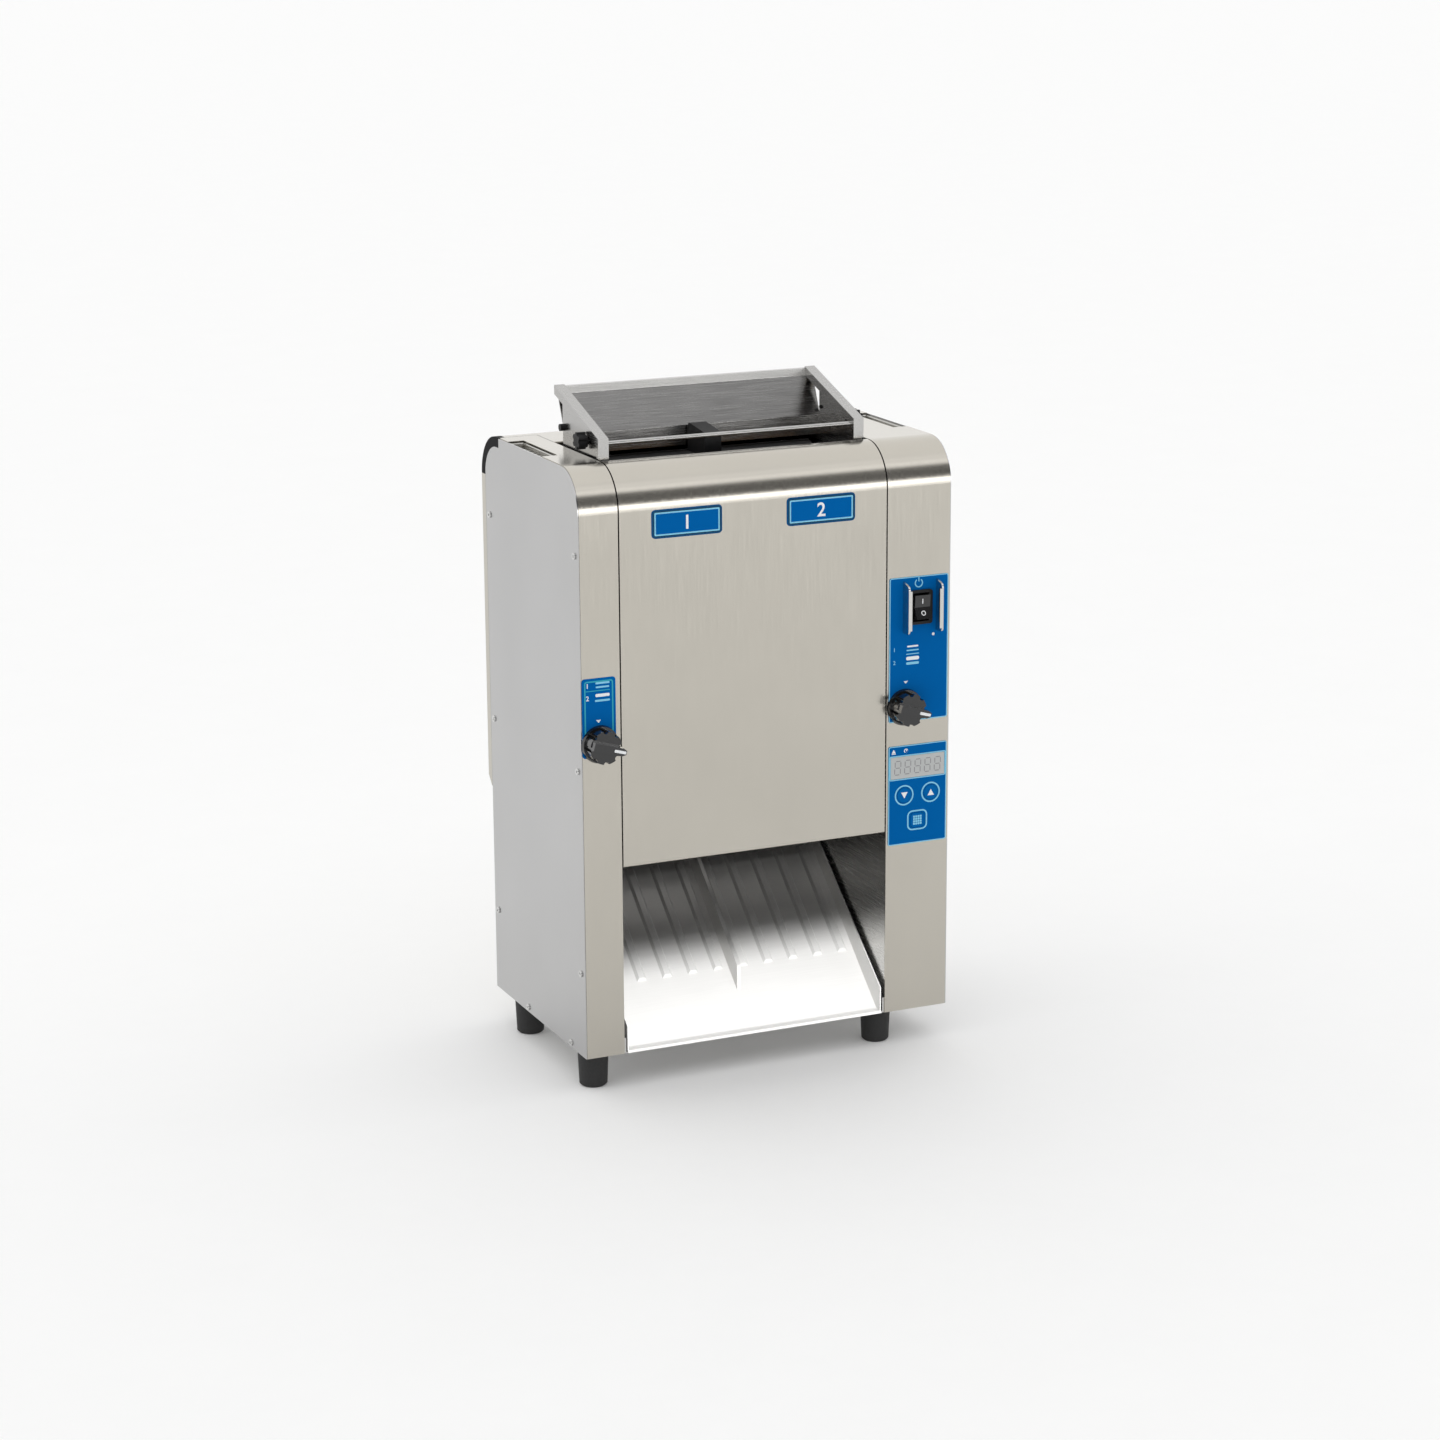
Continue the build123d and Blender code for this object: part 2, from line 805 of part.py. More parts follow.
# Black edge trims around the rear top corners
with BuildPart() as edge_trims:
    with BuildSketch(Plane.YZ.offset(left_x), Plane.YZ.offset(right_x - trim_width)):
        add(trim_face(0))
    extrude(amount=trim_width)
edge_trims.part.label = "edge_trims"
export_step(edge_trims.part, "parts/edge_trims.step")


# Feet: tapered rubber bodies with a bevelled edge, each on its threaded stud
with BuildPart() as leveling_feet:
    with Locations(*[(x, y, 0) for x, y in foot_spots]):
        Cone(foot_low_radius, foot_radius, foot_height, align=(Align.CENTER, Align.CENTER, Align.MIN))
    chamfer(leveling_feet.edges().group_by(Axis.Z)[0], foot_bevel)
    with Locations(*[(x, y, foot_height) for x, y in foot_spots]):
        Cylinder(foot_stud_radius, foot_stud_rise, align=(Align.CENTER, Align.CENTER, Align.MIN))
leveling_feet.part.label = "leveling_feet"
export_step(leveling_feet.part, "parts/leveling_feet.step")


# Feeder: two side plates with a rising bar and a front post, a leaning back plate,
# a thin rod across the front, two thumb screws and two small studs behind them
feeder_left_x = chamber_left + feeder_gap
feeder_right_x = chamber_right - feeder_gap
feeder_front_y = front_y + feeder_front
feeder_back_y = front_y + feeder_back
feeder_tail_y = feeder_back_y + feeder_overhang
feeder_post_z = top_z + feeder_post_height
feeder_tail_z = feeder_post_z + feeder_rise
feeder_slope = feeder_rise / (feeder_tail_y - feeder_front_y)
bar_line = [
    (feeder_front_y, feeder_post_z - feeder_bar_depth),
    (feeder_front_y, feeder_post_z),
    (feeder_tail_y, feeder_tail_z),
    (feeder_tail_y, feeder_tail_z - feeder_bar_depth),
]
plate_step = feeder_sheet
rod_y = front_y + rod_setback
rod_z = top_z + rod_height
thumb_y = front_y + thumb_setback
thumb_z = top_z + thumb_height
stud_y = front_y + stud_setback
stud_z = top_z + stud_height


def feeder_side(outer_x, inward):
    """Side of the feeder. Its bar and post stand at outer_x and run inward, +1 or -1."""
    plate_x = outer_x + inward * plate_step
    under_bar = feeder_post_z - feeder_bar_depth / 2
    with BuildPart() as side:
        with BuildSketch(Plane.YZ.offset(plate_x)):
            add(
                polygon(
                    [
                        (feeder_front_y, feeder_low_z),
                        (feeder_back_y, feeder_low_z),
                        (feeder_back_y, under_bar + feeder_slope * (feeder_back_y - feeder_front_y)),
                        (feeder_front_y, under_bar),
                    ]
                )
            )
            with Locations((thumb_y, thumb_z)):
                Circle(thumb_neck_radius / 2 + seat_gap, mode=Mode.SUBTRACT)
            with Locations((stud_y, stud_z)):
                Circle(stud_radius / 2 + seat_gap, mode=Mode.SUBTRACT)
        extrude(amount=inward * feeder_sheet)
        with BuildSketch(Plane.YZ.offset(outer_x)):
            add(polygon(bar_line))
        extrude(amount=inward * feeder_bar_width)
        with BuildSketch(Plane.YZ.offset(plate_x + inward * feeder_sheet)):
            hollow = [
                (y, z - feeder_sheet)
                for y, z in (
                    (feeder_front_y - overrun, feeder_post_z - feeder_slope * overrun),
                    (feeder_tail_y + overrun, feeder_tail_z + feeder_slope * overrun),
                    (feeder_tail_y + overrun, feeder_tail_z - 2 * feeder_bar_depth),
                    (feeder_front_y - overrun, feeder_post_z - 2 * feeder_bar_depth),
                )
            ]
            add(polygon(hollow))
        inner_depth = feeder_bar_width - plate_step - 2 * feeder_sheet
        extrude(amount=inward * inner_depth, mode=Mode.SUBTRACT)
        with BuildSketch(Plane.YZ.offset(outer_x)):
            with Locations((feeder_front_y + feeder_post_depth / 2, (top_z + feeder_post_z) / 2)):
                Rectangle(feeder_post_depth, feeder_post_height)
        extrude(amount=inward * feeder_bar_width)
        with BuildSketch(Plane.YZ.offset(plate_x)):
            with Locations((rod_y, rod_z)):
                Circle(rod_radius + running_gap)
        extrude(amount=inward * feeder_bar_width, mode=Mode.SUBTRACT)
    return side.part


with BuildPart() as feeder_left_side:
    add(feeder_side(feeder_left_x, 1))
feeder_left_side.part.label = "feeder_left_side"
export_step(feeder_left_side.part, "parts/feeder_left_side.step")

with BuildPart() as feeder_right_side:
    add(feeder_side(feeder_right_x, -1))
feeder_right_side.part.label = "feeder_right_side"
export_step(feeder_right_side.part, "parts/feeder_right_side.step")

feeder_inner_left = feeder_left_x + plate_step + feeder_sheet
feeder_inner_right = feeder_right_x - plate_step - feeder_sheet
back_lean = feeder_tail_y - 2 * feeder_sheet
notch_width = feeder_bar_width + seat_gap
with BuildPart() as feeder_back_plate:
    with BuildSketch(Plane.YZ.offset(feeder_inner_left)):
        add(
            bent_sheet(
                [
                    (feeder_back_y - feeder_sheet, feeder_low_z),
                    (feeder_back_y - feeder_sheet, top_z + feeder_drop),
                    (back_lean, feeder_tail_z - feeder_bar_depth),
                    (back_lean, feeder_tail_z - feeder_sheet),
                    (back_lean + back_plate_hem, feeder_tail_z - feeder_sheet),
                ],
                [feeder_sheet, feeder_sheet, 0], feeder_sheet, Side.RIGHT,
            )
        )
    extrude(amount=feeder_inner_right - feeder_inner_left)
    with BuildSketch(
        Plane.YZ.offset(feeder_left_x), Plane.YZ.offset(feeder_right_x - notch_width)
    ):
        add(
            polygon(
                [
                    (feeder_front_y, feeder_post_z - feeder_bar_depth - seat_gap),
                    (feeder_tail_y, feeder_tail_z - feeder_bar_depth - seat_gap),
                    (feeder_tail_y, feeder_tail_z),
                    (feeder_front_y, feeder_tail_z),
                ]
            )
        )
    extrude(amount=notch_width, mode=Mode.SUBTRACT)
feeder_back_plate.part.label = "feeder_back_plate"
export_step(feeder_back_plate.part, "parts/feeder_back_plate.step")

with BuildPart() as feeder_front_rod:
    with BuildSketch(Plane.YZ.offset(feeder_left_x + plate_step)):
        with Locations((rod_y, rod_z)):
            Circle(rod_radius)
    extrude(amount=feeder_right_x - feeder_left_x - 2 * plate_step)
feeder_front_rod.part.label = "feeder_front_rod"
export_step(feeder_front_rod.part, "parts/feeder_front_rod.step")

with BuildPart() as feeder_thumb_screws:
    for outer_x, outward in (
        (feeder_left_x + plate_step, -1), (feeder_right_x - plate_step, 1),
    ):
        with BuildSketch(Plane.YZ.offset(outer_x)):
            with Locations((thumb_y, thumb_z)):
                Circle(thumb_neck_radius)
        extrude(amount=outward * thumb_neck_length)
        with BuildSketch(Plane.YZ.offset(outer_x + outward * thumb_neck_length)):
            with Locations((thumb_y, thumb_z)):
                Circle(thumb_radius)
                with PolarLocations(thumb_radius, thumb_flute_count):
                    Circle(thumb_flute_radius, mode=Mode.SUBTRACT)
        extrude(amount=outward * (thumb_length - thumb_neck_length))
        with BuildSketch(Plane.YZ.offset(outer_x)):
            with Locations((thumb_y, thumb_z)):
                Circle(thumb_neck_radius / 2)
        extrude(amount=-outward * 2 * feeder_sheet)
feeder_thumb_screws.part.label = "feeder_thumb_screws"
export_step(feeder_thumb_screws.part, "parts/feeder_thumb_screws.step")

with BuildPart() as feeder_rear_studs:
    for outer_x, outward in (
        (feeder_left_x + plate_step, -1), (feeder_right_x - plate_step, 1),
    ):
        with BuildSketch(Plane.YZ.offset(outer_x)):
            with Locations((stud_y, stud_z)):
                Circle(stud_radius)
        extrude(amount=outward * stud_length)
        with BuildSketch(Plane.YZ.offset(outer_x)):
            with Locations((stud_y, stud_z)):
                Circle(stud_radius / 2)
        extrude(amount=-outward * 2 * feeder_sheet)
feeder_rear_studs.part.label = "feeder_rear_studs"
export_step(feeder_rear_studs.part, "parts/feeder_rear_studs.step")


# Platen: a vertical heated slab, its top tapered to part the halves, on four lugs
platen_left = chamber_left + platen_end_gap
platen_right = chamber_right - platen_end_gap
platen_top_z = platen_foot_z + platen_tall
half_platen = platen_thickness / 2
half_top = platen_top_thickness / 2
lug_spots = [platen_foot_z + platen_lug_low, platen_top_z - platen_lug_drop]
with BuildPart() as platen:
    with BuildSketch(Plane.YZ.offset(platen_left)):
        add(
            polygon(
                [
                    (platen_y - half_platen, platen_foot_z),
                    (platen_y + half_platen, platen_foot_z),
                    (platen_y + half_platen, platen_top_z - platen_taper_height),
                    (platen_y + half_top, platen_top_z),
                    (platen_y - half_top, platen_top_z),
                    (platen_y - half_platen, platen_top_z - platen_taper_height),
                ]
            )
        )
        with Locations(*heater_spots):
            Circle(heater_radius + heater_fit, mode=Mode.SUBTRACT)
    extrude(amount=platen_right - platen_left)
    with BuildSketch(Plane.YZ.offset(chamber_left - seam_gap)):
        with Locations(*[(platen_y, z) for z in lug_spots]):
            Rectangle(platen_lug_thickness, platen_lug_height)
    extrude(amount=platen_end_gap + seam_gap)
    with BuildSketch(Plane.YZ.offset(platen_right)):
        with Locations(*[(platen_y, z) for z in lug_spots]):
            Rectangle(platen_lug_thickness, platen_lug_height)
    extrude(amount=platen_end_gap + seam_gap)
platen.part.label = "platen"
export_step(platen.part, "parts/platen.step")

with BuildPart() as platen_heaters:
    with BuildSketch(Plane.YZ.offset(platen_left)):
        with Locations(*heater_spots):
            Circle(heater_radius)
    extrude(amount=chamber_right + heater_tail - platen_left)
platen_heaters.part.label = "platen_heaters"
export_step(platen_heaters.part, "parts/platen_heaters.step")

with BuildPart() as release_sheet:
    with BuildSketch(Plane.YZ.offset(platen_left)):
        add(
            bent_sheet(
                [
                    (platen_y - half_platen - release_gap, platen_top_z - release_drop),
                    (platen_y - half_platen - release_gap, platen_top_z - platen_taper_height),
                    (platen_y - half_top - release_gap, platen_top_z + release_gap),
                    (platen_y + half_top + release_gap, platen_top_z + release_gap),
                    (platen_y + half_platen + release_gap, platen_top_z - platen_taper_height),
                    (platen_y + half_platen + release_gap, platen_top_z - release_drop),
                ],
                0, release_thickness, Side.LEFT,
            )
        )
    extrude(amount=platen_right - platen_left)
release_sheet.part.label = "release_sheet"
export_step(release_sheet.part, "parts/release_sheet.step")

# Black lane divider: stands on the rear half of the platen between the two lanes
with BuildPart() as lane_divider:
    with BuildSketch(Plane.YZ.offset(chamber_mid - divider_half_width)):
        add(
            polygon(
                [
                    (platen_y - half_top, platen_top_z + 2 * release_thickness),
                    (front_y + divider_back, platen_top_z + 2 * release_thickness),
                    (front_y + divider_back, top_z + divider_rise),
                    (platen_y - half_top, top_z + divider_rise - divider_nose),
                ]
            )
        )
    extrude(amount=2 * divider_half_width)
    fillet(lane_divider.edges().filter_by(Axis.X).group_by(Axis.Z)[-1], divider_nose)
lane_divider.part.label = "lane_divider"
export_step(lane_divider.part, "parts/lane_divider.step")


# Conveyors: each has a frame that swings about its drive shaft, a cleated belt,
# a drive shaft with its gear, a drive roller, and an idler roller on a fixed pin
frame_left = chamber_left + frame_wall_gap
frame_right = chamber_right - frame_wall_gap
belt_left = frame_left + frame_plate + belt_side_gap
belt_right = frame_right - frame_plate - belt_side_gap
belt_inner = roller_radius + belt_gap
belt_outer = belt_inner + belt_thickness
belt_run = idler_z - drive_z
cleat_count = math.floor((belt_run - cleat_pitch) / cleat_pitch)
tooth_pitch = 2 * math.pi * gear_pitch_radius / gear_teeth
gear_module = 2 * gear_pitch_radius / gear_teeth
gear_root_radius = gear_pitch_radius - gear_dedendum_share * gear_module
gear_tip_radius = gear_pitch_radius + gear_addendum_share * gear_module


def gear_face(half_tooth_turn):
    """Spur gear outline around the origin. A turn of half a tooth puts a gap at 0."""
    tooth = [
        (gear_root_radius - gear_module / 2, -tooth_root_share * tooth_pitch / 2),
        (gear_pitch_radius, -tooth_pitch_share * tooth_pitch / 2),
        (gear_tip_radius, -tooth_tip_share * tooth_pitch / 2),
        (gear_tip_radius, tooth_tip_share * tooth_pitch / 2),
        (gear_pitch_radius, tooth_pitch_share * tooth_pitch / 2),
        (gear_root_radius - gear_module / 2, tooth_root_share * tooth_pitch / 2),
    ]
    with BuildSketch() as outline:
        Circle(gear_root_radius)
        with PolarLocations(0, gear_teeth, start_angle=half_tooth_turn * 180 / gear_teeth):
            add(polygon(tooth))
    return outline.sketch


def belt_face(axis_y):
    """Section of a conveyor belt around its two rollers, with cleats outside."""
    middle = (axis_y, (drive_z + idler_z) / 2)
    with BuildSketch() as section:
        with Locations(middle):
            SlotCenterToCenter(belt_run, 2 * belt_outer, rotation=90)
            for side in (-1, 1):
                with Locations((side * (belt_outer + cleat_height / 2 - belt_thickness / 4), 0)):
                    with GridLocations(0, cleat_pitch, 1, cleat_count):
                        Rectangle(cleat_height + belt_thickness / 2, cleat_width)
        for end_z, start in ((drive_z, math.pi), (idler_z, 0)):
            with Locations((axis_y, end_z)):
                with PolarLocations(
                    belt_outer + cleat_height / 2 - belt_thickness / 4, cleats_per_arc,
                    start_angle=math.degrees(start), angular_range=math.degrees(math.pi),
                ):
                    Rectangle(cleat_height + belt_thickness / 2, cleat_width)
        with Locations(middle):
            SlotCenterToCenter(belt_run, 2 * belt_inner, rotation=90, mode=Mode.SUBTRACT)
    return section.sketch


def conveyor_frame(axis_y, toward_platen, arm_low_x, arm_high_x, nut_x, arm_z):
    """Side plates, the bed behind the belt, two ties and the arm with its nut block."""
    bed_y = axis_y + toward_platen * bed_offset
    with BuildPart() as frame:
        with BuildSketch(Plane.YZ.offset(frame_left), Plane.YZ.offset(frame_right - frame_plate)):
            with Locations((axis_y, (drive_z + idler_z) / 2)):
                SlotCenterToCenter(belt_run, 2 * frame_radius, rotation=90)
            with Locations((axis_y, drive_z)):
                Circle(shaft_radius + belt_gap, mode=Mode.SUBTRACT)
        extrude(amount=frame_plate)
        with BuildSketch(Plane.YZ.offset(frame_left)):
            with Locations((bed_y, (drive_z + idler_z) / 2)):
                Rectangle(bed_thickness, belt_run - 2 * bed_end_gap)
            with Locations((axis_y, drive_z + bed_end_gap), (axis_y, idler_z - bed_end_gap)):
                Circle(tie_radius)
        extrude(amount=frame_right - frame_left)
        with BuildSketch(Plane.YZ.offset(arm_low_x)):
            with Locations((axis_y, arm_z)):
                Circle(arm_radius)
        extrude(amount=arm_high_x - arm_low_x)
        with Locations((nut_x, axis_y, arm_z)):
            Box(nut_size, nut_size, nut_size)
        with BuildSketch(front_plane(axis_y)):
            with Locations((nut_x, arm_z)):
                Circle(screw_rod_radius + nut_bore_gap)
        extrude(amount=nut_size, both=True, mode=Mode.SUBTRACT)
        with BuildSketch(Plane.YZ.offset(frame_left)):
            with Locations((axis_y, idler_z)):
                Circle(idler_pin_radius + running_gap)
        extrude(amount=frame_right - frame_left, mode=Mode.SUBTRACT)
    return frame.part


def drive_shaft(axis_y, half_tooth_turn):
    """Shaft through both walls, with a toothed gear and its hub on the right end."""
    with BuildPart() as shaft:
        with BuildSketch(Plane.YZ.offset(chamber_left - sheet - shaft_tail)):
            with Locations((axis_y, drive_z)):
                Circle(shaft_radius)
        extrude(amount=gear_high_x + shaft_tail - (chamber_left - sheet - shaft_tail))
        with BuildSketch(Plane.YZ.offset(gear_low_x)):
            with Locations((axis_y, drive_z)):
                add(gear_face(half_tooth_turn))
        extrude(amount=gear_width)
        with BuildSketch(Plane.YZ.offset(gear_high_x)):
            with Locations((axis_y, drive_z)):
                Circle(hub_radius)
        extrude(amount=hub_length)
    return shaft.part


def roller(axis_y, axis_z, bore):
    """Plain roller tube as wide as the belt, on the bore radius given."""
    with BuildPart() as tube:
        with BuildSketch(Plane.YZ.offset(belt_left)):
            with Locations((axis_y, axis_z)):
                Circle(roller_radius)
                Circle(bore, mode=Mode.SUBTRACT)
        extrude(amount=belt_right - belt_left)
    return tube.part


def belt(axis_y):
    """Conveyor belt, drawn in section and run across both lanes."""
    with BuildPart() as loop:
        with BuildSketch(Plane.YZ.offset(belt_left)):
            add(belt_face(axis_y))
        extrude(amount=belt_right - belt_left)
    return loop.part


def idler_pin(axis_y):
    """Fixed pin of the idler roller, between the side plates of the frame."""
    with BuildPart() as pin:
        with BuildSketch(Plane.YZ.offset(frame_left)):
            with Locations((axis_y, idler_z)):
                Circle(idler_pin_radius)
        extrude(amount=frame_right - frame_left)
    return pin.part


front_arm = (frame_right - frame_plate, right_knob_x, right_knob_x, right_knob_z)
rear_arm = (left_knob_x, frame_left + frame_plate, left_knob_x, left_knob_z)
conveyor_pieces = {
    "front_conveyor_frame": conveyor_frame(front_axis_y, 1, *front_arm),
    "front_belt": belt(front_axis_y),
    "front_drive_shaft": drive_shaft(front_axis_y, 0),
    "front_drive_roller": roller(front_axis_y, drive_z, shaft_radius + running_gap),
    "front_idler_pin": idler_pin(front_axis_y),
    "front_idler_roller": roller(front_axis_y, idler_z, idler_pin_radius + running_gap),
    "rear_conveyor_frame": conveyor_frame(rear_axis_y, -1, *rear_arm),
    "rear_belt": belt(rear_axis_y),
    "rear_drive_shaft": drive_shaft(rear_axis_y, 1),
    "rear_drive_roller": roller(rear_axis_y, drive_z, shaft_radius + running_gap),
    "rear_idler_pin": idler_pin(rear_axis_y),
    "rear_idler_roller": roller(rear_axis_y, idler_z, idler_pin_radius + running_gap),
}
for label, piece in conveyor_pieces.items():
    piece.label = label
    export_step(piece, f"parts/{label}.step")

# Flanged bushes of the two drive shafts in the chamber walls
with BuildPart() as shaft_bushes:
    for wall_x, outward in (
        (chamber_left - seam_gap - sheet, -1), (chamber_right + seam_gap + sheet, 1),
    ):
        with BuildSketch(Plane.YZ.offset(wall_x)):
            with Locations((front_axis_y, drive_z), (rear_axis_y, drive_z)):
                Circle(bush_flange_radius)
        extrude(amount=outward * bush_flange)
        with BuildSketch(Plane.YZ.offset(wall_x)):
            with Locations((front_axis_y, drive_z), (rear_axis_y, drive_z)):
                Circle(bush_outer_radius)
        extrude(amount=-outward * (sheet + seam_gap))
        with BuildSketch(Plane.YZ.offset(wall_x)):
            with Locations((front_axis_y, drive_z), (rear_axis_y, drive_z)):
                Circle(shaft_radius + running_gap)
        extrude(amount=2 * bush_outer_radius, both=True, mode=Mode.SUBTRACT)
shaft_bushes.part.label = "shaft_bushes"
export_step(shaft_bushes.part, "parts/shaft_bushes.step")


# Gear train: the motor gear beside the front gear, then the idler gear, then the rear gear
gearbox_low_x = gear_high_x + hub_length + gearbox_seat
with BuildPart() as motor_gear:
    with BuildSketch(Plane.YZ.offset(gear_low_x)):
        with Locations((motor_gear_y, drive_z)):
            add(gear_face(1))
    extrude(amount=gear_width)
    with BuildSketch(Plane.YZ.offset(gear_high_x)):
        with Locations((motor_gear_y, drive_z)):
            Circle(hub_radius)
    extrude(amount=hub_length)
    with BuildSketch(Plane.YZ.offset(gear_high_x)):
        with Locations((motor_gear_y, drive_z)):
            Circle(gear_shaft_radius)
    extrude(amount=gearbox_width / 2)
motor_gear.part.label = "motor_gear"
export_step(motor_gear.part, "parts/motor_gear.step")

with BuildPart() as idler_gear:
    with BuildSketch(Plane.YZ.offset(gear_low_x)):
        with Locations((idler_gear_y, drive_z)):
            add(gear_face(0))
    extrude(amount=gear_width)
    with BuildSketch(Plane.YZ.offset(gear_high_x)):
        with Locations((idler_gear_y, drive_z)):
            Circle(hub_radius)
    extrude(amount=hub_length)
    with BuildSketch(Plane.YZ.offset(gear_low_x)):
        with Locations((idler_gear_y, drive_z)):
            Circle(gear_stud_radius + running_gap)
    extrude(amount=2 * gear_width, mode=Mode.SUBTRACT)
idler_gear.part.label = "idler_gear"
export_step(idler_gear.part, "parts/idler_gear.step")

# Gearmotor: a cast gearbox with the motor hanging below it
gearbox_mid = gearbox_low_x + gearbox_width / 2
gearbox_low_z = drive_z - gearbox_height / 2
with BuildPart() as gearbox:
    with Locations((gearbox_mid, motor_gear_y, drive_z)):
        Box(gearbox_width, gearbox_depth, gearbox_height)
    fillet(gearbox.edges().filter_by(Axis.X), gearbox_edge)
    with BuildSketch(Plane.YZ.offset(gearbox_low_x)):
        with Locations((motor_gear_y, drive_z)):
            Circle(gear_shaft_radius + running_gap)
    extrude(amount=gearbox_width / 2 + gearbox_seat, mode=Mode.SUBTRACT)
    with BuildSketch(Plane.XY.offset(gearbox_low_z)):
        with Locations((gearbox_mid, motor_gear_y)):
            Circle(motor_radius - motor_shoulder / 2)
    extrude(amount=-motor_shoulder)
    with BuildSketch(Plane.YZ.offset(right_face_x + sheet)):
        with Locations((motor_gear_y, drive_z)):
            with GridLocations(
                2 * gear_pitch_radius, gearbox_height - 2 * standoff_radius, 2, 2
            ):
                RegularPolygon(standoff_radius, 6)
    extrude(amount=gearbox_low_x + standoff_radius - right_face_x - sheet)
gearbox.part.label = "gearbox"
export_step(gearbox.part, "parts/gearbox.step")

motor_top_z = gearbox_low_z - motor_shoulder
with BuildPart() as drive_motor:
    with BuildSketch(Plane.XY.offset(motor_top_z)):
        with Locations((gearbox_mid, motor_gear_y)):
            Circle(motor_radius - motor_rib)
            with PolarLocations(motor_radius - 2 * motor_rib, motor_rib_count):
                Rectangle(4 * motor_rib, 2 * motor_rib)
    extrude(amount=-motor_length)
    with BuildSketch(Plane.XY.offset(motor_top_z - motor_length)):
        with Locations((gearbox_mid, motor_gear_y)):
            Circle(motor_radius - 2 * motor_rib)
    extrude(amount=-motor_shoulder)
drive_motor.part.label = "drive_motor"
export_step(drive_motor.part, "parts/drive_motor.step")


# Adjuster screws: a rod from inside the knob through the nut block of a conveyor
knob_back_y = front_y - knob_panel_gap


def adjuster_screw(x, z, nut_y):
    """Threaded rod along Y, with a collar behind the front sheet."""
    tail_y = nut_y + screw_rod_tail
    with BuildPart() as rod:
        with BuildSketch(front_plane(tail_y)):
            with Locations((x, z)):
                Circle(screw_rod_radius)
        extrude(amount=tail_y - (knob_back_y - knob_bore_depth + running_gap))
        with BuildSketch(front_plane(front_y + sheet + seat_gap)):
            with Locations((x, z)):
                Circle(screw_rod_radius + 2 * panel_hole_gap + sheet)
        extrude(amount=-2 * sheet)
    return rod.part


def knob(x, z):
    """Pointer knob: skirt, fluted body and a bar with a pointed end."""
    with BuildPart() as grip:
        with BuildSketch(front_plane(knob_back_y)):
            with Locations((x, z)):
                Circle(knob_radius)
        with BuildSketch(front_plane(knob_back_y - knob_skirt)):
            with Locations((x, z)):
                Circle(knob_skirt_top_radius)
        loft()
        with BuildSketch(front_plane(knob_back_y - knob_skirt)):
            with Locations((x, z)):
                Circle(knob_body_radius)
                with PolarLocations(knob_body_radius, knob_flute_count):
                    Circle(knob_flute_radius, mode=Mode.SUBTRACT)
        extrude(amount=knob_body_height)
        with BuildSketch(front_plane(knob_back_y - knob_skirt)):
            with Locations(Location((x, z), pointer_angle)):
                half_bar = knob_bar_width / 2
                add(
                    polygon(
                        [
                            (-knob_bar_tail, -half_bar),
                            (knob_bar_length - half_bar, -half_bar),
                            (knob_bar_length, -half_bar / 2),
                            (knob_bar_length, half_bar / 2),
                            (knob_bar_length - half_bar, half_bar),
                            (-knob_bar_tail, half_bar),
                        ]
                    )
                )
        extrude(amount=knob_reach - knob_panel_gap - knob_skirt)
        with BuildSketch(front_plane(knob_back_y)):
            with Locations((x, z)):
                Circle(screw_rod_radius + knob_bore_fit)
        extrude(amount=knob_bore_depth, mode=Mode.SUBTRACT)
    return grip.part


with BuildPart() as left_adjuster_screw:
    add(adjuster_screw(left_knob_x, left_knob_z, rear_axis_y))
left_adjuster_screw.part.label = "left_adjuster_screw"
export_step(left_adjuster_screw.part, "parts/left_adjuster_screw.step")

with BuildPart() as right_adjuster_screw:
    add(adjuster_screw(right_knob_x, right_knob_z, front_axis_y))
right_adjuster_screw.part.label = "right_adjuster_screw"
export_step(right_adjuster_screw.part, "parts/right_adjuster_screw.step")

with BuildPart() as left_knob:
    add(knob(left_knob_x, left_knob_z))
left_knob.part.label = "left_knob"
export_step(left_knob.part, "parts/left_knob.step")

with BuildPart() as right_knob:
    add(knob(right_knob_x, right_knob_z))
right_knob.part.label = "right_knob"
export_step(right_knob.part, "parts/right_knob.step")


# Overlays on the control strip, cut out for knob, switch, display and keys
def overlay_blank(low, high):
    """Rounded label sheet on the front of the control strip."""
    with BuildSketch() as blank:
        with Locations((panel_mid, base_z + (low + high) / 2)):
            RectangleRounded(panel_width, high - low, overlay_corner)
    return blank.sketch


with BuildPart() as upper_overlay:
    with BuildSketch(front_plane(front_y)):
        add(overlay_blank(upper_overlay_low, upper_overlay_high))
        with Locations((right_knob_x, right_knob_z)):
            Circle(screw_hole_radius + panel_hole_gap, mode=Mode.SUBTRACT)
        with Locations((rocker_x, rocker_z)):
            Rectangle(
                switch_body_width + 2 * seat_gap, switch_body_height + 2 * seat_gap,
                mode=Mode.SUBTRACT,
            )
    extrude(amount=overlay_thickness)
upper_overlay.part.label = "upper_overlay"
export_step(upper_overlay.part, "parts/upper_overlay.step")

with BuildPart() as lower_overlay:
    with BuildSketch(front_plane(front_y)):
        add(overlay_blank(lower_overlay_low, lower_overlay_high))
        with Locations((panel_mid, display_z)):
            Rectangle(
                display_width + 2 * display_fit, display_height + 2 * display_fit,
                mode=Mode.SUBTRACT,
            )
        with Locations(*round_key_spots):
            Circle(key_radius + key_fit, mode=Mode.SUBTRACT)
        with Locations((panel_mid, select_z)):
            RectangleRounded(
                select_key_size + 2 * key_fit, select_key_size + 2 * key_fit,
                select_key_corner, mode=Mode.SUBTRACT,
            )
    extrude(amount=overlay_thickness)
lower_overlay.part.label = "lower_overlay"
export_step(lower_overlay.part, "parts/lower_overlay.step")

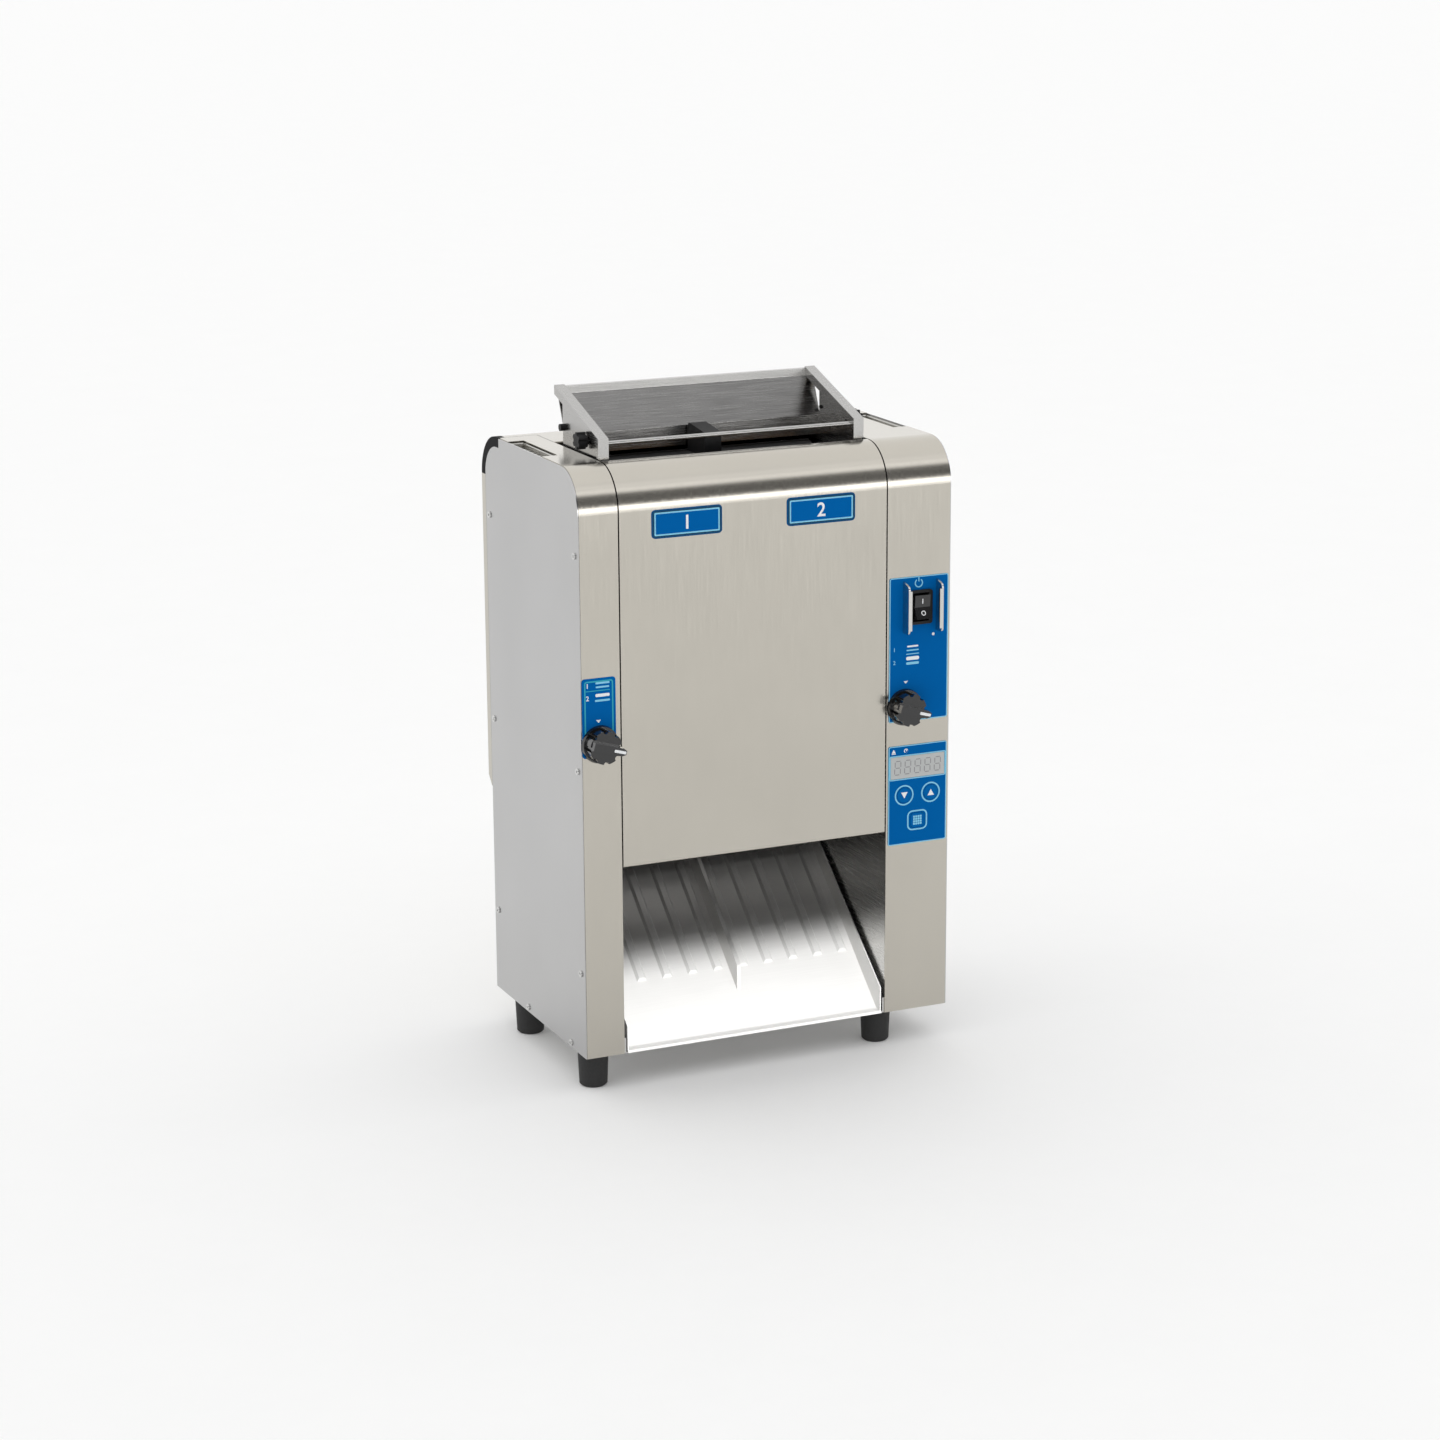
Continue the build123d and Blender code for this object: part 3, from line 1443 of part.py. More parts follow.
with BuildPart() as display_window:
    with BuildSketch(front_plane(front_y - overlay_thickness)):
        with Locations((panel_mid, display_z)):
            Rectangle(display_width, display_height)
    extrude(amount=-display_depth)
display_window.part.label = "display_window"
export_step(display_window.part, "parts/display_window.step")

# Keys: caps that travel into the panel onto the pads of the control board
key_face_y = front_y - overlay_thickness - key_proud
key_cap_depth = overlay_thickness + key_proud + key_stem
for label, x in (("down_key", panel_mid - key_offset), ("up_key", panel_mid + key_offset)):
    with BuildPart() as round_key:
        with BuildSketch(front_plane(key_face_y)):
            with Locations((x, key_z)):
                Circle(key_radius)
        extrude(amount=-key_cap_depth)
        chamfer(round_key.edges().group_by(Axis.Y)[0], key_proud / 2)
    round_key.part.label = label
    export_step(round_key.part, f"parts/{label}.step")

with BuildPart() as select_key:
    with BuildSketch(front_plane(key_face_y)):
        with Locations((panel_mid, select_z)):
            RectangleRounded(select_key_size, select_key_size, select_key_corner)
    extrude(amount=-key_cap_depth)
    chamfer(select_key.edges().group_by(Axis.Y)[0], key_proud / 2)
select_key.part.label = "select_key"
export_step(select_key.part, "parts/select_key.step")

board_y = front_y + board_setback
lower_mid_z = base_z + (lower_overlay_low + lower_overlay_high) / 2
board_tall = lower_overlay_high - lower_overlay_low
key_tail_y = key_face_y + key_cap_depth
with BuildPart() as control_board:
    with BuildSketch(front_plane(board_y)):
        with Locations((panel_mid, lower_mid_z)):
            Rectangle(panel_width, board_tall)
    extrude(amount=-board_thickness)
    with BuildSketch(front_plane(board_y)):
        with Locations((panel_mid, lower_mid_z)):
            with GridLocations(
                panel_width - 2 * board_post_radius, board_tall - 2 * board_post_radius, 2, 2
            ):
                RegularPolygon(board_post_radius, 6)
    extrude(amount=board_setback - sheet)
    with BuildSketch(front_plane(board_y)):
        with Locations(*round_key_spots, (panel_mid, select_z)):
            Rectangle(2 * switch_pad_radius, 2 * switch_pad_radius)
    extrude(amount=board_y - key_tail_y - switch_pad_gap)
    with BuildSketch(front_plane(board_y)):
        with Locations((panel_mid, display_z)):
            Rectangle(display_width - 2 * board_post_inset, display_height)
    extrude(amount=board_y - (front_y - overlay_thickness + display_depth))
control_board.part.label = "control_board"
export_step(control_board.part, "parts/control_board.step")


# Rocker switch: body with its bezel and pocket, and the rocker on its two trunnions
bezel_face_y = front_y - overlay_thickness - bezel_proud
pivot_y = bezel_face_y + rocker_pivot_depth
pin_half = rocker_width / 2 + rocker_side_gap + rocker_pin_reach
with BuildPart() as switch_body:
    with BuildSketch(front_plane(front_y - overlay_thickness)):
        with Locations((rocker_x, rocker_z)):
            RectangleRounded(bezel_width, bezel_height, bezel_corner)
    extrude(amount=bezel_proud)
    with BuildSketch(front_plane(front_y - overlay_thickness)):
        with Locations((rocker_x, rocker_z)):
            Rectangle(switch_body_width, switch_body_height)
    extrude(amount=-switch_body_depth)
    with BuildSketch(front_plane(bezel_face_y)):
        with Locations((rocker_x, rocker_z)):
            Rectangle(rocker_width + 2 * rocker_side_gap, 2 * rocker_pocket_half)
    extrude(amount=-rocker_pocket_depth, mode=Mode.SUBTRACT)
    with BuildSketch(Plane.YZ.offset(rocker_x)):
        with Locations((pivot_y, rocker_z)):
            Circle(rocker_pin_radius + running_gap)
    extrude(amount=pin_half + seat_gap, both=True, mode=Mode.SUBTRACT)
switch_body.part.label = "switch_body"
export_step(switch_body.part, "parts/switch_body.step")

with BuildPart() as rocker:
    with BuildSketch(Plane.YZ.offset(rocker_x - rocker_width / 2)):
        with Locations(Location((pivot_y, rocker_z), -rocker_tilt)):
            add(
                polygon(
                    [
                        (-rocker_tip, rocker_half_height),
                        (-rocker_peak, 0),
                        (-rocker_tip, -rocker_half_height),
                        (rocker_root, -rocker_half_height),
                        (rocker_root, rocker_half_height),
                    ]
                )
            )
    extrude(amount=rocker_width)
    with BuildSketch(Plane.YZ.offset(rocker_x - pin_half)):
        with Locations((pivot_y, rocker_z)):
            Circle(rocker_pin_radius)
    extrude(amount=2 * pin_half)
rocker.part.label = "rocker"
export_step(rocker.part, "parts/rocker.step")

# Switch guards: upright steel cheeks with a sloping top and a hemmed front edge
guard_low_z = rocker_z + guard_lift - guard_height / 2
guard_high_z = guard_low_z + guard_height
guard_root_y = front_y - overlay_thickness
guard_front_y = guard_root_y - guard_reach
with BuildPart() as switch_guards:
    for side in (-1, 1):
        cheek_x = rocker_x + side * guard_spread / 2
        cheek_low_x = min(cheek_x, cheek_x - side * guard_thickness)
        hem_low_x = min(cheek_x, cheek_x - side * guard_hem)
        with BuildSketch(Plane.YZ.offset(cheek_low_x)) as cheek:
            add(
                polygon(
                    [
                        (guard_root_y, guard_low_z),
                        (guard_root_y, guard_high_z),
                        (guard_front_y, guard_high_z - guard_slope),
                        (guard_front_y, guard_low_z),
                    ]
                )
            )
            fillet(cheek.vertices().group_by(Axis.X)[0], guard_corner)
        extrude(amount=guard_thickness)
        with Locations((hem_low_x, guard_front_y, guard_low_z + guard_corner)):
            Box(
                guard_hem, guard_thickness, guard_height - guard_slope - 2 * guard_corner,
                align=(Align.MIN, Align.MIN, Align.MIN),
            )
switch_guards.part.label = "switch_guards"
export_step(switch_guards.part, "parts/switch_guards.step")


# Cooling fan behind the grille of the service panel
fan_back_y = rear_y - sheet
fan_front_y = fan_back_y - fan_thickness
with BuildPart() as fan_frame:
    with BuildSketch(front_plane(fan_back_y)):
        with Locations((fan_x, fan_z)):
            RectangleRounded(fan_size, fan_size, fan_corner)
            Circle(fan_bore_radius, mode=Mode.SUBTRACT)
    extrude(amount=fan_thickness)
    with BuildSketch(front_plane(fan_front_y)):
        with Locations((fan_x, fan_z)):
            Circle(fan_hub_radius)
            with PolarLocations(fan_bore_radius / 2, 4):
                Rectangle(fan_bore_radius + fan_spoke_width, fan_spoke_width)
    extrude(amount=-fan_spoke_depth)
    with BuildSketch(front_plane(fan_front_y + fan_spoke_depth)):
        with Locations((fan_x, fan_z)):
            Circle(fan_pin_radius)
    extrude(amount=-fan_blade_depth)
fan_frame.part.label = "fan_frame"
export_step(fan_frame.part, "parts/fan_frame.step")

rotor_front_y = fan_front_y + fan_spoke_depth + belt_gap
with BuildPart() as fan_rotor:
    with BuildSketch(front_plane(rotor_front_y)):
        with Locations((fan_x, fan_z)):
            Circle(fan_hub_radius)
    extrude(amount=-fan_blade_depth)
    blade_middle = (fan_hub_radius + fan_blade_radius) / 2
    blade_length = fan_blade_radius - fan_hub_radius + fan_blade_thickness
    for blade in range(fan_blade_count):
        turn = blade * 360 / fan_blade_count
        blade_plane = Plane(
            origin=(
                fan_x + blade_middle * math.cos(math.radians(turn)),
                rotor_front_y + fan_blade_depth / 2,
                fan_z + blade_middle * math.sin(math.radians(turn)),
            ),
            x_dir=(math.cos(math.radians(turn)), 0, math.sin(math.radians(turn))),
            z_dir=(0, -1, 0),
        ).rotated((fan_blade_angle, 0, 0))
        with Locations(blade_plane):
            Box(blade_length, fan_blade_depth, fan_blade_thickness)
    with BuildSketch(front_plane(rotor_front_y)):
        with Locations((fan_x, fan_z)):
            Circle(fan_blade_radius)
            Circle(fan_pin_radius + fan_pin_fit, mode=Mode.SUBTRACT)
    extrude(amount=-fan_blade_depth, mode=Mode.INTERSECT)
fan_rotor.part.label = "fan_rotor"
export_step(fan_rotor.part, "parts/fan_rotor.step")

terminal_y = rear_y - terminal_from_rear
with BuildPart() as terminal_block:
    with Locations((fan_x, terminal_y, pan_top)):
        Box(
            terminal_length, terminal_width, terminal_height,
            align=(Align.CENTER, Align.CENTER, Align.MIN),
        )
    with Locations((fan_x, terminal_y, pan_top + terminal_height)):
        with GridLocations(terminal_length / terminal_ways, 0, terminal_ways, 1):
            Box(
                terminal_length / terminal_ways - 2 * sheet, terminal_width, 2 * terminal_notch,
                mode=Mode.SUBTRACT,
            )
terminal_block.part.label = "terminal_block"
export_step(terminal_block.part, "parts/terminal_block.step")

with BuildPart() as cord_gland:
    with BuildSketch(front_plane(rear_y)):
        with Locations((gland_x, gland_z)):
            RegularPolygon(gland_radius + sheet, 6)
    extrude(amount=-gland_proud)
    with BuildSketch(front_plane(rear_y)):
        with Locations((gland_x, gland_z)):
            Circle(gland_radius - 2 * foot_hole_gap)
    extrude(amount=gland_inner)
    with BuildSketch(front_plane(rear_y)):
        with Locations((gland_x, gland_z)):
            Circle(gland_bore_radius)
    extrude(amount=gland_inner + gland_proud, both=True, mode=Mode.SUBTRACT)
cord_gland.part.label = "cord_gland"
export_step(cord_gland.part, "parts/cord_gland.step")


# Discharge chute: a hemmed lip, a ribbed ramp, two side wings and a lane divider
chute_left = chamber_left + chute_gap
chute_right = chamber_right - chute_gap
ramp_end_y = front_y + chute_run
ramp_end_z = ramp_z(ramp_end_y)
steep = chute_sheet / math.cos(ramp_angle)
with BuildPart() as discharge_chute:
    with BuildSketch(Plane.YZ.offset(chute_left)):
        add(
            bent_sheet(
                [
                    (lip_y - seat_gap, base_z),
                    (lip_y - seat_gap, lip_z),
                    (ramp_start_y, lip_z),
                    (ramp_end_y, ramp_end_z),
                ],
                [chute_sheet / 2, chute_bend], chute_sheet, Side.LEFT,
            )
        )
    extrude(amount=chute_right - chute_left)
    with BuildSketch(Plane.YZ.offset(chute_left), Plane.YZ.offset(chute_right - chute_sheet)):
        add(
            polygon(
                [
                    (lip_y, lip_z),
                    (ramp_start_y, lip_z),
                    (ramp_end_y, ramp_end_z),
                    (ramp_end_y, ramp_end_z + wing_height),
                    (lip_y, lip_z + chute_lip_height + wing_height),
                ]
            )
        )
    extrude(amount=chute_sheet)
    divider_low_y = front_y + chute_divider_low_run
    divider_high_y = front_y + chute_divider_high_run
    with BuildSketch(Plane.YZ.offset(chamber_mid - chute_divider_thickness / 2)):
        add(
            polygon(
                [
                    (divider_low_y, ramp_z(divider_low_y) + steep / 2),
                    (divider_high_y, ramp_z(divider_high_y) + steep / 2),
                    (divider_high_y, ramp_z(divider_high_y) + chute_divider_height),
                    (divider_low_y, ramp_z(divider_low_y) + chute_divider_height),
                ]
            )
        )
    extrude(amount=chute_divider_thickness)
    slope_plane = Plane(
        origin=(chamber_mid, ramp_start_y, lip_z),
        x_dir=(1, 0, 0),
        z_dir=(0, -math.sin(ramp_angle), math.cos(ramp_angle)),
    )
    rib_low = (rib_low_run - chute_lip_length) / math.cos(ramp_angle)
    rib_high = (rib_high_run - chute_lip_length) / math.cos(ramp_angle)
    rib_pitch = (chute_right - chute_left) / 2 / rib_per_lane
    with BuildSketch(slope_plane.offset(chute_sheet / 2)):
        for lane in (-1, 1):
            for rib in range(rib_per_lane):
                with Locations((lane * rib_pitch * (rib + 1 / 2), (rib_low + rib_high) / 2)):
                    Rectangle(rib_width, rib_high - rib_low)
    extrude(amount=rib_height, taper=rib_taper)
discharge_chute.part.label = "discharge_chute"
export_step(discharge_chute.part, "parts/discharge_chute.step")
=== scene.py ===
"""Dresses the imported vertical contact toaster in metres: camera, studio, finishes, labels and small trim."""

import json
import math

import bmesh
import bpy
from mathutils import Matrix, Vector


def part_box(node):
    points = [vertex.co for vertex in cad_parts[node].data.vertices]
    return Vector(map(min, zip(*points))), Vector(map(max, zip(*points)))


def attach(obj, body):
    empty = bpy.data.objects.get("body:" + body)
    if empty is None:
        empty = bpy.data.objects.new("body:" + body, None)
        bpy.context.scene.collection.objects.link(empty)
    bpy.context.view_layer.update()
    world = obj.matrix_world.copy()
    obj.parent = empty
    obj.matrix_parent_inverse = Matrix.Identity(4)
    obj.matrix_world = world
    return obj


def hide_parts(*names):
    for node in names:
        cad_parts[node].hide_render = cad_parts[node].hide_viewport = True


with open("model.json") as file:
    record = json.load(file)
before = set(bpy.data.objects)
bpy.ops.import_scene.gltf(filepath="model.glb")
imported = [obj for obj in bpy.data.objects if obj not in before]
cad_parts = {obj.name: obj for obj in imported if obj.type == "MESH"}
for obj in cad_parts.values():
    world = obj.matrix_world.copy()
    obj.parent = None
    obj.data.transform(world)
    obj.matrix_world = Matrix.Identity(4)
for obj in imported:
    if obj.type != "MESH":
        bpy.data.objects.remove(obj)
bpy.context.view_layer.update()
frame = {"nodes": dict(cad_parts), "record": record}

scene = bpy.context.scene
slot_of = {part["node"]: part["material_slot"] for part in frame["record"]["subparts"]}
mm = 0.001

# Camera: it stands to the front left of the toaster and looks down a little
camera_azimuth = math.radians(24.140)
camera_drop = math.radians(14.498)
camera_roll = math.radians(0.338)
camera_distance = 3.5304
aim_point = Vector((0.00486, 0.01220, 0.32909))
lens_length = 86.31
sensor_width = 36.0
camera_near = 0.1
camera_far = 200.0


def build_camera():
    """Stands the camera at its distance from the aim point, with its drop and its slight roll."""
    ahead = Vector((
        math.sin(camera_azimuth) * math.cos(camera_drop),
        math.cos(camera_azimuth) * math.cos(camera_drop),
        -math.sin(camera_drop),
    ))
    across = Vector((math.cos(camera_azimuth), -math.sin(camera_azimuth), 0))
    above = across.cross(ahead)
    camera_x = across * math.cos(camera_roll) - above * math.sin(camera_roll)
    camera_y = across * math.sin(camera_roll) + above * math.cos(camera_roll)
    turn = Matrix((camera_x, camera_y, -ahead)).transposed().to_4x4()
    data = bpy.data.cameras.new("camera")
    data.lens = lens_length
    data.sensor_width = sensor_width
    data.clip_start = camera_near
    data.clip_end = camera_far
    camera = bpy.data.objects.new("camera", data)
    camera.matrix_world = Matrix.Translation(aim_point - ahead * camera_distance) @ turn
    scene.collection.objects.link(camera)
    scene.camera = camera


build_camera()
scene.view_settings.view_transform = "Standard"

# Sky: even all round, but towards the front it has a dark band below pale stripes, so that the bent steel
# shows its curve. Heights and the start of the front are shares of a direction's unit length.
sky_strength = 1.12
sky_bright = 1.0
sky_dark = 0.11
sky_dark_top = 0.176
sky_high = 1.3
sky_blue_gain = 1.01
dark_from = 0.13
dark_to = 0.6
dark_blur = 0.05
high_stripes = ((0.7, 1.3), (0.76, 0.98), (0.81, 1.12), (0.87, 0.9), (0.92, 1.08), (0.97, 0.96))
front_from = -0.05
front_full = -0.45


def new_node(tree, kind, **inputs):
    """A new node of a tree, with its named inputs set."""
    node = tree.nodes.new(kind)
    for name, value in inputs.items():
        node.inputs[name.replace("_", " ")].default_value = value
    return node


def build_sky():
    """The world's light, worked out from the direction that it comes from."""
    world = bpy.data.worlds.new("studio_sky")
    world.use_nodes = True
    tree = world.node_tree
    direction = tree.nodes.new("ShaderNodeTexCoord")
    parts = tree.nodes.new("ShaderNodeSeparateXYZ")
    tree.links.new(direction.outputs["Generated"], parts.inputs[0])

    stops = (
        (0.0, sky_bright),
        (dark_from - dark_blur / 2, sky_bright),
        (dark_from + dark_blur / 2, sky_dark),
        (dark_to - dark_blur, sky_dark_top),
        (dark_to + dark_blur, sky_high),
        *high_stripes,
    )
    ramp = tree.nodes.new("ShaderNodeValToRGB")
    while len(ramp.color_ramp.elements) < len(stops):
        ramp.color_ramp.elements.new(0.5)
    for element, (place, level) in zip(ramp.color_ramp.elements, stops):
        element.position = place
        element.color = (level, level, level * sky_blue_gain, 1)
    tree.links.new(parts.outputs["Z"], ramp.inputs[0])

    forward = new_node(tree, "ShaderNodeMapRange", From_Min=front_from, From_Max=front_full)
    forward.interpolation_type = "SMOOTHSTEP"
    tree.links.new(parts.outputs["Y"], forward.inputs["Value"])
    blend = tree.nodes.new("ShaderNodeMix")
    blend.data_type = "RGBA"
    around, front = [socket for socket in blend.inputs if socket.type == "RGBA"]
    around.default_value = (sky_bright, sky_bright, sky_bright, 1)
    tree.links.new(ramp.outputs["Color"], front)
    tree.links.new(forward.outputs["Result"], blend.inputs["Factor"])

    blended = next(socket for socket in blend.outputs if socket.type == "RGBA")
    background = tree.nodes["Background"]
    background.inputs["Strength"].default_value = sky_strength
    tree.links.new(blended, background.inputs["Color"])
    scene.world = world


build_sky()

# Lights: a low strip far in front, which the bent steel mirrors as a white line, and a lamp on the chute
strip_size = (11.0, 0.62)
strip_place = (1.6, -4.6, 0.72)
strip_target = (1.6, 0.0, 0.72)
strip_power = 60.0
lamp_place = (0.0, -2.3, 1.1)
lamp_target = (0.0, -0.07, 0.07)
lamp_cone = math.radians(11.0)
lamp_blend = 0.5
lamp_radius = 0.03
lamp_power = 250.0


def aim(light, place, target, power, glossy):
    """Puts a light at a place, turned to a target. It shows in mirrored light alone or in matt light alone."""
    light.energy = power
    lamp = bpy.data.objects.new(light.name, light)
    lamp.location = place
    lamp.rotation_euler = (Vector(target) - Vector(place)).to_track_quat("-Z", "Z").to_euler()
    lamp.visible_camera = False
    lamp.visible_diffuse = not glossy
    lamp.visible_glossy = glossy
    scene.collection.objects.link(lamp)
    return lamp


def build_lights():
    """The strip for mirrored light, and the lamp for the matt light of the discharge chute alone."""
    strip = bpy.data.lights.new("front_strip", "AREA")
    strip.shape = "RECTANGLE"
    strip.size, strip.size_y = strip_size
    aim(strip, strip_place, strip_target, strip_power, glossy=True)
    spot = bpy.data.lights.new("lip_lamp", "SPOT")
    spot.spot_size = lamp_cone
    spot.spot_blend = lamp_blend
    spot.shadow_soft_size = lamp_radius
    lamp = aim(spot, lamp_place, lamp_target, lamp_power, glossy=False)
    lit = bpy.data.collections.new("lip_lit")
    lit.objects.link(frame["nodes"]["discharge_chute"])
    lamp.light_linking.receiver_collection = lit


build_lights()

# Finishes: node materials whose colour, gloss and relief vary with a fine noise, stretched along the grain
even = (1, 1, 1)
brush_across = (0.03, 1, 1)
brush_up = (1, 1, 0.03)
brush_back = (1, 0.03, 1)
along_tubes = (0.2, 1, 1)
round_rollers = (1, 0.05, 0.05)
round_gears = (1, 0.1, 0.1)
fine_detail = 3.0
fine_range = (0.3, 0.7)
broad_scale = 9.0
broad_detail = 2.0
both_range = (0.5, 1.5)
gloss_least = 0.02
bump_distance = 0.0004
coat_roughness = 0.08


def finish(name, color, metallic=0.0, roughness=0.5, grain=400.0, stretch=even, shade=0.05, rub=0.06,
           relief=0.02, coat=0.0, shine=0.5, glow=0.0):
    """A material. Its colour varies by shade, its roughness by rub, and relief is the strength of its bump."""
    material = bpy.data.materials.new(name)
    material.use_nodes = True
    tree = material.node_tree
    surface = tree.nodes["Principled BSDF"]
    surface.inputs["Metallic"].default_value = metallic
    surface.inputs["Coat Weight"].default_value = coat
    surface.inputs["Coat Roughness"].default_value = coat_roughness
    surface.inputs["Specular IOR Level"].default_value = shine
    surface.inputs["Emission Color"].default_value = (*color, 1)
    surface.inputs["Emission Strength"].default_value = glow

    place = tree.nodes.new("ShaderNodeTexCoord")
    scale = new_node(tree, "ShaderNodeMapping", Scale=stretch)
    tree.links.new(place.outputs["Object"], scale.inputs["Vector"])
    fine = new_node(tree, "ShaderNodeTexNoise", Scale=grain, Detail=fine_detail)
    tree.links.new(scale.outputs["Vector"], fine.inputs["Vector"])
    broad = new_node(tree, "ShaderNodeTexNoise", Scale=broad_scale, Detail=broad_detail)
    tree.links.new(place.outputs["Object"], broad.inputs["Vector"])
    both = tree.nodes.new("ShaderNodeMath")
    both.operation = "ADD"
    tree.links.new(fine.outputs["Fac"], both.inputs[0])
    tree.links.new(broad.outputs["Fac"], both.inputs[1])

    tint = new_node(tree, "ShaderNodeMapRange", From_Min=both_range[0], From_Max=both_range[1],
                    To_Min=1 - shade, To_Max=1 + shade)
    tree.links.new(both.outputs[0], tint.inputs["Value"])
    paint = tree.nodes.new("ShaderNodeVectorMath")
    paint.operation = "SCALE"
    paint.inputs[0].default_value = color
    tree.links.new(tint.outputs["Result"], paint.inputs["Scale"])
    tree.links.new(paint.outputs["Vector"], surface.inputs["Base Color"])

    gloss = new_node(tree, "ShaderNodeMapRange", From_Min=fine_range[0], From_Max=fine_range[1],
                     To_Min=max(roughness - rub, gloss_least), To_Max=roughness + rub)
    tree.links.new(fine.outputs["Fac"], gloss.inputs["Value"])
    tree.links.new(gloss.outputs["Result"], surface.inputs["Roughness"])
    bump = new_node(tree, "ShaderNodeBump", Strength=relief, Distance=bump_distance)
    tree.links.new(fine.outputs["Fac"], bump.inputs["Height"])
    tree.links.new(bump.outputs["Normal"], surface.inputs["Normal"])
    return material


pale_steel = (0.6, 0.595, 0.58)
feeder_grey = (0.43, 0.425, 0.415)

# The finish of each slot of the record
finishes = {
    "housing_grey": finish("housing_steel", (0.512, 0.486, 0.432), metallic=1, roughness=0.19, grain=900,
                           stretch=brush_up, shade=0.045, rub=0.05, relief=0.03),
    "steel": finish("bright_steel", pale_steel, metallic=1, roughness=0.24, grain=900, stretch=brush_across,
                    shade=0.04, relief=0.04),
    "dark_steel": finish("vent_steel", (0.5, 0.49, 0.46), metallic=1, roughness=0.32, grain=800,
                         stretch=brush_across, shade=0.06, relief=0.03),
    "platen_metal": finish("platen_cast", (0.34, 0.33, 0.32), metallic=1, roughness=0.5, grain=300,
                           shade=0.12, rub=0.1, relief=0.1),
    "heater_metal": finish("heater_sheath", (0.24, 0.2, 0.17), metallic=1, roughness=0.42, grain=120,
                           stretch=along_tubes, shade=0.25, rub=0.1),
    "release_fabric": finish("release_cloth", (0.2, 0.11, 0.05), roughness=0.4, grain=700, shade=0.2,
                             rub=0.1, relief=0.2, coat=0.3),
    "belt_black": finish("belt_silicone", (0.03, 0.03, 0.031), roughness=0.6, grain=500, shade=0.2,
                         rub=0.1, relief=0.1),
    "roller_metal": finish("roller_turned", (0.6, 0.6, 0.6), metallic=1, roughness=0.3, grain=500,
                           stretch=round_rollers),
    "gear_steel": finish("gear_machined", (0.36, 0.36, 0.37), metallic=1, roughness=0.32, grain=500,
                         stretch=round_gears, shade=0.08),
    "bush_brass": finish("bush_sintered", (0.55, 0.38, 0.16), metallic=1, roughness=0.42, grain=700,
                         shade=0.1),
    "black_plastic": finish("moulded_black", (0.012, 0.012, 0.013), roughness=0.46, grain=900, shade=0.1,
                            relief=0.06, shine=0.25),
    "gloss_black": finish("polished_black", (0.008, 0.008, 0.009), roughness=0.16, grain=200, shade=0.1,
                          rub=0.03, relief=0.01, coat=0.5),
    "foot_rubber": finish("foot_rubber", (0.02, 0.02, 0.02), roughness=0.72, grain=500, shade=0.2,
                          rub=0.08, relief=0.12),
    "label_blue": finish("film_blue", (0.0, 0.128, 0.43), roughness=0.42, grain=1200, shade=0.04,
                         rub=0.05, relief=0.03, shine=0.015),
    "display_grey": finish("window_grey", (0.56, 0.575, 0.57), roughness=0.2, grain=300, shade=0.04,
                           rub=0.03, relief=0.01, shine=0.4),
    "key_blue": finish("key_blue", (0.0, 0.138, 0.45), roughness=0.42, grain=900, rub=0.05, relief=0.04,
                       shine=0.03),
    "board_green": finish("board_laminate", (0.02, 0.12, 0.05), roughness=0.35, grain=300, shade=0.12,
                          rub=0.05, coat=0.3),
    "motor_grey": finish("motor_paint", (0.12, 0.125, 0.13), metallic=0.3, roughness=0.42, grain=700,
                         shade=0.08),
    "screw_zinc": finish("bright_zinc", (0.66, 0.66, 0.65), metallic=1, roughness=0.22, grain=700,
                         shade=0.06),
    "terminal_white": finish("terminal_moulding", (0.68, 0.66, 0.6), roughness=0.4, grain=500),
}

# Some nodes differ a little from the rest of their slot: neutral side panels, a greyer feeder, upright sheets
# whose grain runs front to back, and matt edge trims
own_finishes = (
    (finish("side_steel", (0.47, 0.468, 0.468), metallic=1, roughness=0.2, grain=520, stretch=brush_up,
            shade=0.07, rub=0.05, relief=0.04),
     ("left_side_panel", "right_side_panel")),
    (finish("feeder_steel", feeder_grey, metallic=1, roughness=0.24, grain=900, stretch=brush_across,
            shade=0.04, relief=0.04),
     ("feeder_back_plate", "feeder_front_rod")),
    (finish("feeder_side_steel", feeder_grey, metallic=1, roughness=0.24, grain=900, stretch=brush_back,
            shade=0.04, relief=0.04),
     ("feeder_left_side", "feeder_right_side")),
    (finish("wall_steel", pale_steel, metallic=1, roughness=0.26, grain=800, stretch=brush_back, relief=0.03),
     ("left_inner_wall", "right_inner_wall")),
    (finish("guard_steel", pale_steel, metallic=1, roughness=0.22, grain=900, stretch=brush_up, shade=0.04,
            rub=0.05, relief=0.03),
     ("switch_guards",)),
    (finish("trim_moulding", (0.008, 0.008, 0.009), roughness=0.6, grain=900, shade=0.1, relief=0.06,
            shine=0.08),
     ("edge_trims",)),
)

# Heights on the discharge chute, in metres, between which its finish goes from a pale matt to bare metal
lip_fade_z = (0.084, 0.118)
lip_fade_metallic = (0.1, 0.965)


